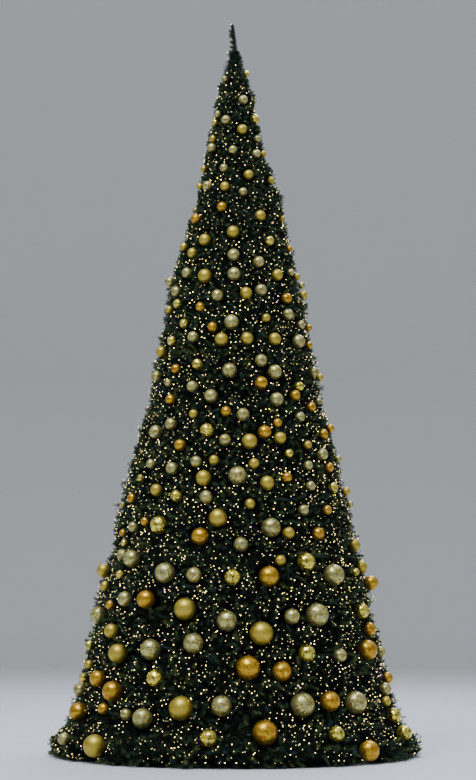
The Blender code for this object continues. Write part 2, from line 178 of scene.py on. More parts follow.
def turned(profile: Sequence[Pair], sides: int) -> Shape:
    """A surface of revolution: a profile of radius and height carried round the Z axis.

    A profile that starts or ends on the axis is closed there by a fan to one point. One
    that doesn't is closed by a flat fan to a point in the middle of its rim.

    Args:
        profile: Radius and height of each step, from the foot up.
        sides: Number of corners round the axis.

    Returns:
        The closed surface, facing out.
    """
    rows = np.array(profile, float)
    ends = [rows[0, 1], rows[-1, 1]]
    rings = rows[rows[:, 0] > 0]
    angle = TURN * np.arange(sides) / sides
    points = at(angle[None], rings[:, :1], rings[:, 1:]).reshape(-1, 3)
    count = len(points)
    points = np.vstack([points, [[0, 0, ends[0]], [0, 0, ends[1]]]])
    here = np.arange(sides)
    after = (here + 1) % sides
    low = np.arange(len(rings) - 1)[:, None] * sides
    quads = np.stack([low + here, low + after, low + after + sides, low + here + sides], axis=-1)
    foot = np.stack([np.full(sides, count), after, here], axis=-1)
    last = (len(rings) - 1) * sides
    head = np.stack([np.full(sides, count + 1), last + here, last + after], axis=-1)
    return Shape(points, np.vstack([foot, head]), quads.reshape(-1, 4))


def ball(sides: int, rings: int) -> Shape:
    """A ball of radius one: a half circle from pole to pole, turned.

    Args:
        sides: Number of corners round it.
        rings: Number of steps from pole to pole.

    Returns:
        The ball, closed at both poles.
    """
    angle = np.linspace(-math.pi / 2, math.pi / 2, rings + 1)
    profile = [(math.cos(a) if 0 < i < rings else 0.0, math.sin(a)) for i, a in enumerate(angle)]
    return turned(profile, sides)


def closed_grid(rows: int, columns: int) -> Whole:
    """The quads of a grid of points that closes on itself both ways.

    Args:
        rows: Number of rows of points.
        columns: Number of points in a row.

    Returns:
        The four point numbers of each quad.
    """
    i, j = np.meshgrid(np.arange(rows), np.arange(columns), indexing="ij")
    corners = [(i, j), (i, j + 1), (i + 1, j + 1), (i + 1, j)]
    return np.stack([a % rows * columns + b % columns for a, b in corners], axis=-1).reshape(-1, 4)


def ring_shape(radius: float, thickness: float, sides: int, section: int) -> Shape:
    """A ring in the XZ plane: a small circle carried round a large one.

    Args:
        radius: Radius of the large circle.
        thickness: Radius of the small one.
        sides: Number of corners of the large circle.
        section: Number of corners of the small one.

    Returns:
        The ring, closed and facing out.
    """
    around = TURN * np.arange(sides)[:, None] / sides
    about = TURN * np.arange(section)[None] / section
    reach = radius + thickness * np.cos(about)
    high = np.broadcast_to(thickness * np.sin(about), (sides, section))
    points = np.stack([reach * np.cos(around), high, reach * np.sin(around)], axis=-1)
    return Shape(points.reshape(-1, 3), quads=closed_grid(sides, section))


def tubes(paths: Array, radii: Array, sides: int, reference: Array | None = None) -> Shape:
    """Round limbs: a ring of corners carried along each path, with a flat cap at both ends.

    Args:
        paths: Points of each path, as limb by point by coordinate.
        radii: Radius at each point of each path.
        sides: Number of corners of a ring.
        reference: Direction that each ring's first corner turns to, where it isn't chosen here.

    Returns:
        All the limbs as one shape.
    """
    count, steps = paths.shape[:2]
    tangents = unit(np.gradient(paths, axis=1))
    if reference is None:
        whole = unit(paths[:, -1] - paths[:, 0])
        level = np.where(np.abs(whole[:, 2:3]) > STEEP, ASIDE, UP)
        reference = level[:, None]
    across = unit(np.cross(tangents, reference))
    over = np.cross(tangents, across)
    angle = TURN * np.arange(sides) / sides
    spokes = across[..., None, :] * np.cos(angle)[:, None] + over[..., None, :] * np.sin(angle)[:, None]
    points = paths[:, :, None] + spokes * radii[:, :, None, None]
    here, after = np.arange(sides), (np.arange(sides) + 1) % sides
    ring = np.arange(steps - 1)[:, None] * sides
    quads = np.stack([ring + here, ring + after, ring + after + sides, ring + here + sides], axis=-1)
    fan = np.stack([np.zeros(sides - 2, int), here[1:-1], here[2:]], axis=-1)
    caps = np.vstack([fan[:, ::-1], fan + (steps - 1) * sides])
    shift = np.arange(count)[:, None, None] * steps * sides
    return Shape(
        points.reshape(-1, 3),
        (caps[None] + shift).reshape(-1, 3),
        (quads.reshape(1, -1, 4) + shift).reshape(-1, 4),
    )


@dataclass
class Piece:
    """Shapes that are joined into one named mesh of the tree."""

    name: str
    materials: list[Material]
    slot: str
    shapes: list[Shape] = field(default_factory=list)
    nodes: tuple[str, ...] = ()
    smooth: bool = True
    indexes: list[Whole] = field(default_factory=list)
    marks: list[Array] = field(default_factory=list)

    def add(self, shape: Shape, index: Whole | None = None, marks: Array | None = None) -> None:
        """Adds a shape.

        Args:
            shape: The points and faces.
            index: Which of the piece's materials each face takes, triangles first. A piece
                with one material needs none.
            marks: Where each point lies in its own pattern, for finishes that need it.
        """
        self.shapes.append(shape)
        if index is not None:
            self.indexes.append(index)
        if marks is not None:
            self.marks.append(marks)

    def make(self) -> None:
        """Makes the mesh and its object, which stands at the origin and rides on the one body."""
        corners, sizes, start = [], [], 0
        for shape in self.shapes:
            corners += [(shape.triangles + start).ravel(), (shape.quads + start).ravel()]
            sizes += [np.full(len(shape.triangles), 3), np.full(len(shape.quads), 4)]
            start += len(shape.points)
        points = np.vstack([shape.points for shape in self.shapes]).astype(np.float32)
        corner, size = np.concatenate(corners), np.concatenate(sizes)
        mesh = bpy.data.meshes.new(self.name)
        mesh.vertices.add(len(points))
        mesh.vertices.foreach_set("co", points.ravel())
        mesh.loops.add(len(corner))
        mesh.loops.foreach_set("vertex_index", corner.astype(np.int32))
        mesh.polygons.add(len(size))
        mesh.polygons.foreach_set("loop_start", (np.cumsum(size) - size).astype(np.int32))
        if self.indexes:
            mesh.polygons.foreach_set("material_index", np.concatenate(self.indexes).astype(np.int32))
        for material in self.materials:
            mesh.materials.append(material)
        mesh.update(calc_edges=True)
        if self.marks:
            place = mesh.attributes.new(PLACE, "FLOAT_VECTOR", "POINT")
            place.data.foreach_set("vector", np.vstack(self.marks).astype(np.float32).ravel())
        if self.smooth:
            mesh.shade_smooth()
            mesh.set_sharp_from_angle(angle=SHARP_ANGLE)
        obj = new_object(self.name, mesh)
        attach(obj, BODY)
        if self.nodes:
            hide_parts(*self.nodes)
        triangles = sum(len(s.triangles) + 2 * len(s.quads) for s in self.shapes)
        log.info("%s: %d triangles", self.name, triangles)


# Finishes


def opaque(colour: Colour) -> tuple[float, float, float, float]:
    """A colour that hides what is behind it."""
    return (*colour, 1.0)


def put(target: bpy.types.NodeSocket, value: object) -> None:
    """Gives an input its value, or links it where that is another node's output.

    Args:
        target: The input.
        value: A number, a colour, a vector or an output.
    """
    if isinstance(value, bpy.types.NodeSocket):
        target.id_data.links.new(value, target)
    else:
        target.default_value = value


def fill(node: bpy.types.Node, **values: object) -> None:
    """Sets or links inputs of a node, each named with underscores for its spaces."""
    for key, value in values.items():
        put(node.inputs[key.replace("_", " ")], value)


@dataclass(frozen=True)
class NodeBench:
    """A material's or a group's node tree, with a short call that adds and joins nodes."""

    tree: NodeTree

    def add(self, kind: str, *first: object, **settings: object) -> bpy.types.Node:
        """Adds a node.

        Args:
            kind: The node's type, without the words that all shader nodes start with.
            first: Values or sources of its first inputs, in their order.
            settings: Values for its properties or, where it has none of that name, its inputs.

        Returns:
            The node.
        """
        node = self.tree.nodes.new(f"ShaderNode{kind}")
        for target, value in zip(node.inputs, first):
            put(target, value)
        for key, value in settings.items():
            if hasattr(node, key):
                setattr(node, key, value)
            else:
                fill(node, **{key: value})
        return node


def new_group(name: str, inputs: dict[str, str], outputs: dict[str, str]) -> NodeTree:
    """An empty shader node group.

    Args:
        name: The group's name.
        inputs: Kind of each named input: Float, Vector or Color.
        outputs: Kind of each named output.

    Returns:
        The group, with its input and output nodes.
    """
    group = bpy.data.node_groups.new(name, "ShaderNodeTree")
    for way, sockets in (("INPUT", inputs), ("OUTPUT", outputs)):
        for key, kind in sockets.items():
            group.interface.new_socket(key, in_out=way, socket_type=f"NodeSocket{kind}")
    group.nodes.new("NodeGroupInput")
    group.nodes.new("NodeGroupOutput")
    return group


def swirl_group() -> NodeTree:
    """Fine swirling lines over a ball, the height of its crinkled foil and a cloudy tone.

    The lines are where a wave, bent by a slow noise, crosses its middle. The crinkles are a
    noise of their own.

    Returns:
        The group.
    """
    inputs = {"Place": "Vector"} | dict.fromkeys(
        ("Lines Scale", "Twist", "Thickness", "Crinkle Scale"), "Float"
    )
    group = new_group("swirl_lines", inputs, dict.fromkeys(("Lines", "Crinkle", "Cloud"), "Float"))
    bench, given = NodeBench(group), group.nodes["Group Input"].outputs
    slow = bench.add("TexNoise", given["Place"], Scale=1.3, Detail=1.0)
    centred = bench.add("VectorMath", slow.outputs["Color"], (0.5, 0.5, 0.5), operation="SUBTRACT")
    pushed = bench.add("VectorMath", centred.outputs[0], operation="SCALE", Scale=given["Twist"])
    bent = bench.add("VectorMath", given["Place"], pushed.outputs[0], operation="ADD").outputs[0]
    wave = bench.add("TexWave", bent, Scale=given["Lines Scale"], bands_direction="DIAGONAL")
    offset = bench.add("Math", wave.outputs["Fac"], 0.5, operation="SUBTRACT")
    away = bench.add("Math", offset.outputs[0], operation="ABSOLUTE")
    swirl_and_glint_line = bench.add("MapRange", away.outputs[0], From_Max=given["Thickness"], To_Min=1.0, To_Max=0.0)
    crinkle = bench.add("TexNoise", bent, Scale=given["Crinkle Scale"], Detail=1.0, Roughness=0.4)
    cloud = bench.add("TexNoise", given["Place"], Scale=2.4, Detail=2.0)
    sink = group.nodes["Group Output"]
    fill(sink, Lines=swirl_and_glint_line.outputs["Result"], Crinkle=crinkle.outputs["Fac"], Cloud=cloud.outputs["Fac"])
    return group


def paint_group() -> NodeTree:
    """Sprayed paint on steel: an uneven tone, dust in patches and a fine orange-peel height.

    Returns:
        The group.
    """
    inputs = {"Place": "Vector", "Paint": "Color", "Dust": "Color", "Dust Amount": "Float"}
    outputs = {"Color": "Color", "Roughness": "Float", "Peel": "Float"}
    group = new_group("sprayed_paint", inputs, outputs)
    bench, given = NodeBench(group), group.nodes["Group Input"].outputs
    patches = bench.add("TexNoise", given["Place"], Scale=7.0, Detail=5.0, Roughness=0.65)
    peel = bench.add("TexNoise", given["Place"], Scale=260.0, Detail=1.0)
    share = bench.add(
        "MapRange", patches.outputs["Fac"], From_Min=0.42, From_Max=0.78, To_Max=given["Dust Amount"]
    ).outputs["Result"]
    mix = bench.add("Mix", data_type="RGBA", Factor=share, A=given["Paint"], B=given["Dust"])
    rough = bench.add("MapRange", share, To_Min=0.34, To_Max=0.72)
    sink = group.nodes["Group Output"]
    fill(sink, Color=mix.outputs["Result"], Roughness=rough.outputs["Result"], Peel=peel.outputs["Fac"])
    return group


def plain_material(name: str) -> tuple[Material, bpy.types.Node, NodeBench]:
    """A new material.

    Args:
        name: Its name.

    Returns:
        The material, its Principled shader and a bench for its nodes.
    """
    material = bpy.data.materials.new(name)
    material.use_nodes = True
    return material, material.node_tree.nodes["Principled BSDF"], NodeBench(material.node_tree)


@dataclass(frozen=True)
class NeedleFinish:
    """Thin plastic needles of one plain green."""

    name: str
    colour: Colour
    roughness: float = 0.55
    shine: float = 0.14

    def make(self) -> Material:
        """Makes the finish.

        Returns:
            The material, in one base colour.
        """
        material, shader, _ = plain_material(self.name)
        fill(shader, Base_Color=opaque(self.colour), Roughness=self.roughness)
        fill(shader, Specular_IOR_Level=self.shine)
        return material


@dataclass(frozen=True)
class ShadedThicketFinish:
    """The dense inner foliage in painted shade: streaks as long and thin as needles, crossing over gaps of
    painted shadow.

    Each set of streaks is a noise stretched in a direction of its own, and the highest one
    shows at each place.
    """

    name: str
    # Both colours are painted shade, far darker than the needles: the dark one is painted shadow in the
    # gaps, the light one the shaded streaks.
    dark: Colour
    light: Colour
    streak: Triple = (0.020, 0.020, 0.150)
    turns: tuple[Triple, ...] = (
        (0.5, 0.3, 0.0), (-0.9, 0.5, 0.6), (1.3, -0.4, 1.2), (0.3, 1.2, 2.0), (1.1, 0.7, -0.8),
    )
    streak_edges: Pair = (0.58, 0.72)
    streak_height: float = 0.02
    roughness: float = 0.95
    shine: float = 0.02

    def make(self) -> Material:
        """Makes the finish.

        Returns:
            The material, on object coordinates.
        """
        material, shader, bench = plain_material(self.name)
        place = bench.add("TexCoord").outputs["Object"]
        highest = []
        for turn in self.turns:
            mapping = bench.add("Mapping", place, vector_type="TEXTURE", Rotation=turn, Scale=self.streak)
            streaks = bench.add("TexNoise", mapping.outputs["Vector"], Scale=1.0, Detail=1.0)
            higher = bench.add("Math", streaks.outputs["Fac"], *highest, operation="MAXIMUM")
            highest = [higher.outputs[0]]
        low, high = self.streak_edges
        share = bench.add("MapRange", *highest, From_Min=low, From_Max=high).outputs["Result"]
        dark, light = opaque(self.dark), opaque(self.light)
        mix = bench.add("Mix", data_type="RGBA", Factor=share, A=dark, B=light)
        bump = bench.add("Bump", Strength=1.0, Distance=self.streak_height, Height=share)
        fill(shader, Base_Color=mix.outputs["Result"], Normal=bump.outputs["Normal"])
        fill(shader, Roughness=self.roughness, Specular_IOR_Level=self.shine)
        return material


@dataclass(frozen=True)
class BaubleFinish:
    """The plated skin of a kind of bauble: its colour and a cloudy second tone, which on mirror gold is a
    painted dark reflection; its lines, partly painted glints; and its dents.
    """

    name: str
    colour: Colour
    cloud_tone_and_dark_reflection: Colour
    swirl_and_glint_line: Colour
    metallic: float
    roughness: float
    line_roughness: float
    lines_scale: float
    thickness: float
    crinkle: float
    coat: float
    cloud_edges: Pair = (0.3, 0.7)
    crinkle_scale: float = 2.6
    crinkle_height: float = 0.05
    twist: float = 1.9
    coat_roughness: float = 0.08

    def make(self, swirls: NodeTree) -> Material:
        """Makes the finish.

        Args:
            swirls: The shared group of swirling lines.

        Returns:
            The material, on the pattern place that each ball's points carry.
        """
        material, shader, bench = plain_material(self.name)
        place = bench.add("Attribute", attribute_name=PLACE)
        lines = bench.add("Group", node_tree=swirls)
        fill(lines, Place=place.outputs["Vector"], Lines_Scale=self.lines_scale, Twist=self.twist)
        fill(lines, Thickness=self.thickness, Crinkle_Scale=self.crinkle_scale)
        # The second tone, mixed in by a cloud noise, is a plain random tone on most kinds and a painted
        # dark reflection on mirror gold.
        body = bench.add("Mix", data_type="RGBA", A=opaque(self.colour), B=opaque(self.cloud_tone_and_dark_reflection))
        low, high = self.cloud_edges
        share = bench.add("MapRange", lines.outputs["Cloud"], From_Min=low, From_Max=high)
        fill(body, Factor=share.outputs["Result"])
        # The lines' bright colour is partly a swirl pattern and partly a painted glint.
        lined = bench.add("Mix", data_type="RGBA", A=body.outputs["Result"], B=opaque(self.swirl_and_glint_line))
        on_line = lines.outputs["Lines"]
        rough = bench.add("MapRange", on_line, To_Min=self.roughness, To_Max=self.line_roughness)
        crinkled = bench.add("Bump", Strength=self.crinkle, Distance=self.crinkle_height)
        fill(lined, Factor=on_line)
        fill(crinkled, Height=lines.outputs["Crinkle"])
        fill(shader, Base_Color=lined.outputs["Result"], Roughness=rough.outputs["Result"])
        fill(shader, Normal=crinkled.outputs["Normal"])
        fill(shader, Metallic=self.metallic, Coat_Weight=self.coat, Coat_Roughness=self.coat_roughness)
        return material


@dataclass(frozen=True)
class PaintFinish:
    """Paint or plating on metal."""

    name: str
    colour: Colour
    dust: Colour
    dust_amount: float
    metallic: float = 0.0
    shine: float = 0.5
    peel: float = 0.15
    peel_height: float = 0.001

    def make(self, paint: NodeTree) -> Material:
        """Makes the finish.

        Args:
            paint: The shared group of sprayed paint.

        Returns:
            The material, on object coordinates.
        """
        material, shader, bench = plain_material(self.name)
        place = bench.add("TexCoord")
        coat = bench.add("Group", node_tree=paint)
        fill(coat, Place=place.outputs["Object"], Paint=opaque(self.colour))
        fill(coat, Dust=opaque(self.dust), Dust_Amount=self.dust_amount)
        bump = bench.add("Bump", Strength=self.peel, Distance=self.peel_height)
        fill(bump, Height=coat.outputs["Peel"])
        fill(shader, Base_Color=coat.outputs["Color"], Roughness=coat.outputs["Roughness"])
        fill(shader, Normal=bump.outputs["Normal"], Metallic=self.metallic, Specular_IOR_Level=self.shine)
        return material


@dataclass(frozen=True)
class LampFinish:
    """A lit lamp: clear plastic over a bright chip."""

    name: str
    colour: Colour
    glow: Colour
    strength: float
    roughness: float = 0.25

    def make(self) -> Material:
        """Makes the finish.

        Returns:
            The material, which shines in one colour.
        """
        material, shader, _ = plain_material(self.name)
        fill(shader, Base_Color=opaque(self.colour), Roughness=self.roughness)
        fill(shader, Emission_Color=opaque(self.glow), Emission_Strength=self.strength)
        return material


# The first, darkest green is dealt out as a plain tone and is also the painted shade of the inner needles
# of every twig.
NEEDLE_FINISHES = (
    NeedleFinish("needles_deep_and_painted_shade", (0.0100, 0.0180, 0.0095)),
    NeedleFinish("needles_pine", (0.0310, 0.0540, 0.0270)),
    NeedleFinish("needles_fir", (0.0530, 0.0840, 0.0330)),
    NeedleFinish("needles_moss", (0.0920, 0.1080, 0.0360)),
    NeedleFinish("needles_blue", (0.0240, 0.0500, 0.0400)),
)
NEEDLE_SHARES = (0.22, 0.32, 0.22, 0.10, 0.14)


# The crown's measures


@dataclass(frozen=True)
class Mass:
    """The space of one mass of foliage."""

    tier: int
    index: int
    low: float
    high: float
    middle: float
    half_angle: float

    @property
    def node(self) -> str:
        """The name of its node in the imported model."""
        return f"foliage_{self.tier + 1}_{self.index + 1}"


@dataclass(frozen=True)
class Crown:
    """The crown's outline, tiers and masses, by the rule of the part's source.

    A swell is its height, its half height and its reach past the cone. A bulge is its azimuth,
    its height and its reach, and falls in where that is less than nothing.
    """

    height: float = 10.0
    slope: float = 0.2265
    skirt_spread: float = 0.215
    skirt_height: float = 0.16
    skirt_depth: float = 0.22
    swells: tuple[Triple, ...] = (
        (2.20, 0.26, 0.040), (2.75, 0.26, -0.035), (4.65, 0.50, -0.025), (6.55, 0.60, 0.035),
        (7.95, 0.45, -0.022),
    )
    foot: float = 0.03
    leader_foot: float = 9.30
    crowding: float = 1.25
    masses_in_tier: tuple[int, ...] = (6, 6, 5, 5, 4, 4, 3, 3, 2)
    tiers_on_boughs: int = 3
    core_inset: float = 0.065
    core_inset_share: float = 0.045
    core_inset_most: float = 0.38
    hollow_share: float = 0.55
    hollow_offset: float = 0.12
    core_to_mast: float = 0.03
    mast_foot_radius: float = 0.105
    mast_tip_radius: float = 0.018
    socket_height: float = 0.45
    spire_top: float = 9.67
    spire_radius: float = 0.030
    spire_slope: float = 0.306
    lump_seed: int = 40
    lump_waves: int = 12
    lump_width: float = 0.27
    wave_play: Pair = (0.7, 1.5)
    lump_from: float = 0.6
    lump_most: float = 1.5
    lump_height: float = 0.055
    dent_depth: float = 0.035
    bow_reach: float = 0.060
    bow_at: float = 7.4
    bow_depth: float = 0.50
    bulges: tuple[Triple, ...] = (
        (math.pi, 3.07, 0.085), (0.0, 1.88, -0.090), (math.pi, 1.36, 0.050), (0.0, 6.10, 0.055),
        (math.pi, 6.20, 0.050), (0.0, 7.72, 0.050), (0.0, 1.05, -0.055), (math.pi, 8.10, 0.035),
    )
    bulge_width: float = 0.30
    axis_gap: float = 0.01
    size_at_tip: float = 0.42
    full_size_at: float = 0.5

    def tier_floor(self, tier: int) -> float:
        """Height of a tier's lower edge: the tiers get lower towards the top."""
        share = 1 - (1 - tier / len(self.masses_in_tier)) ** self.crowding
        return self.foot + (self.leader_foot - self.foot) * share

    def past_cone(self, z: Array | float) -> Array | float:
        """How far the foliage reaches past the straight cone: a skirt at the ground, and swells."""
        rows = ((self.skirt_height, self.skirt_depth, self.skirt_spread), *self.swells)
        return sum(reach * np.exp(-(((z - middle) / depth) ** 2)) for middle, depth, reach in rows)

    def radius(self, z: Array | float) -> Array | float:
        """Radius that the tips of the foliage reach at height z."""
        return self.slope * (self.height - z) + self.past_cone(z)

    def core(self, z: Array | float) -> Array | float:
        """Outer radius of the dense cores: further in where the cone is wide.

        Args:
            z: Height.

        Returns:
            The radius there.
        """
        cone = self.slope * (self.height - z)
        inset = np.minimum(self.core_inset + self.core_inset_share * cone, self.core_inset_most * cone)
        return cone - inset + self.past_cone(z) / 2

    def mast(self, z: Array | float) -> Array | float:
        """Radius of the mast at height z."""
        share = np.maximum(0.0, (z - self.socket_height) / (self.leader_foot - self.socket_height))
        return self.mast_foot_radius + (self.mast_tip_radius - self.mast_foot_radius) * share

    def hollow(self, z: Array | float) -> Array | float:
        """Inner radius of the dense cores at height z."""
        least = self.mast(z) + self.core_to_mast
        return np.maximum(least, self.hollow_share * self.radius(z) - self.hollow_offset)

    def spire(self, z: Array | float) -> Array:
        """Radius of the foliage at height z, drawn in to the shoot above the last tier."""
        drawn_in = self.spire_radius + self.spire_slope * np.maximum(0.0, self.spire_top - z)
        return np.minimum(self.radius(z), drawn_in)

    def waves(self, points: Array, seed: int, width: float) -> Array:
        """The sum of plane waves in random directions, each about as long as the width.

        Args:
            points: Points near the outline.
            seed: Which set of waves.
            width: Their middling length, in metres.

        Returns:
            A value at each point, which spreads round nothing by about one.
        """
        dice = np.random.default_rng(seed)
        ways = unit(dice.normal(size=(self.lump_waves, 3)))
        ways *= TURN / (width * dice.uniform(*self.wave_play, (self.lump_waves, 1)))
        phases = dice.uniform(0, TURN, self.lump_waves)
        return np.sin(points @ ways.T + phases).sum(axis=-1) * math.sqrt(2 / self.lump_waves)

    def lumps(self, points: Array) -> Array:
        """How far the outline stands out at each point, or back where it is less than nothing.

        Tufts stand out where the waves are high and dents lie where they are low. The crown
        also bows a little to +X below its top, and bulges or falls in at a few places.

        Args:
            points: Points near the outline.

        Returns:
            Distances along the radius, in metres.
        """
        wave = self.waves(points, self.lump_seed, self.lump_width)
        tufts = np.clip(wave - self.lump_from, 0, self.lump_most) * self.lump_height
        dents = np.clip(-wave - self.lump_from, 0, self.lump_most) * self.dent_depth
        x, y, z = np.moveaxis(points, -1, 0)
        bow = self.bow_reach * np.exp(-(((z - self.bow_at) / self.bow_depth) ** 2))
        reach = (tufts - dents) * self.size(z) + bow * x / np.maximum(np.hypot(x, y), self.axis_gap)
        for turn, height, bulge in self.bulges:
            apart = np.linalg.norm(points - at(turn, self.radius(height), height), axis=-1)
            reach = reach + bulge * np.exp(-((apart / self.bulge_width) ** 2))
        return reach

    def size(self, z: Array | float) -> Array | float:
        """How large twigs are at height z, as a share of those near the foot."""
        return blend(self.size_at_tip, 1.0, self.radius(z) / self.radius(self.full_size_at))

    def masses(self, tier: int) -> Iterator[Mass]:
        """The masses of one tier, each tier turned half a mass against the one below.

        Args:
            tier: Number of the tier, from 0 at the foot.

        Yields:
            Each mass, round the mast from the front.
        """
        count = self.masses_in_tier[tier]
        low, high = self.tier_floor(tier), self.tier_floor(tier + 1)
        for index in range(count):
            middle = TURN * (index + (0.5 if tier % 2 else 0.0)) / count - math.pi / 2
            yield Mass(tier, index, low, high, middle, math.pi / count)


# The camera of the photograph


@dataclass(frozen=True)
class PhotoCamera:
    """The photograph's camera: its frame in pixels, and where it stood."""

    wide_px: float = 476.0
    high_px: float = 780.0
    focal_px: float = 1643.0
    eye: Triple = (0.04, -22.0, 1.6)
    tilt: float = math.radians(8.353)
    sensor_mm: float = 36.0

    def rays(self, x: Array, y: Array) -> Array:
        """Directions through pixels: one unit ahead, plus the pixel's offset from the middle.

        Args:
            x: Pixels from the left edge.
            y: Pixels from the top edge.

        Returns:
            Directions, as long as their step along the camera's axis is one.
        """
        ahead = np.array([0.0, math.cos(self.tilt), math.sin(self.tilt)])
        above = np.array([0.0, -math.sin(self.tilt), math.cos(self.tilt)])
        right = (x - self.wide_px / 2)[:, None] / self.focal_px * ASIDE
        return ahead + right + (self.high_px / 2 - y)[:, None] / self.focal_px * above

    def make(self) -> None:
        """Makes the scene's camera."""
        data = bpy.data.cameras.new("camera")
        data.sensor_width = self.sensor_mm
        data.lens = self.focal_px / self.high_px * self.sensor_mm
        camera = new_object("camera", data)
        camera.location = self.eye
        camera.rotation_euler = (math.pi / 2 + self.tilt, 0.0, 0.0)
        bpy.context.scene.camera = camera


# Foliage


@dataclass(frozen=True)
class Twigs:
    """Curved twigs, each from its start by its bend to its end, with its size and its green."""

    starts: Array
    bends: Array
    ends: Array
    sizes: Array
    greens: Whole

    def kept(self, keep: Truth) -> "Twigs":
        """The twigs for which keep is true."""
        rows = (self.starts, self.bends, self.ends, self.sizes, self.greens)
        return Twigs(*(row[keep] for row in rows))

    def along(self, share: Array) -> tuple[Array, Array]:
        """Points and directions a share of the way along each twig.

        The twig is the parabola (1-u)^2 start + 2u(1-u) bend + u^2 end.

        Args:
            share: Shares from 0 to 1, the same for every twig, or one row a twig.

        Returns:
            Points and unit directions, as twig by share by coordinate.
        """
        u = np.broadcast_to(share, (len(self.starts), np.shape(share)[-1]))[..., None]
        start, bend, end = self.starts[:, None], self.bends[:, None], self.ends[:, None]
        points = (1 - u) ** 2 * start + 2 * u * (1 - u) * bend + u**2 * end
        slopes = (1 - u) * (bend - start) + u * (end - bend)
        return points, unit(slopes)


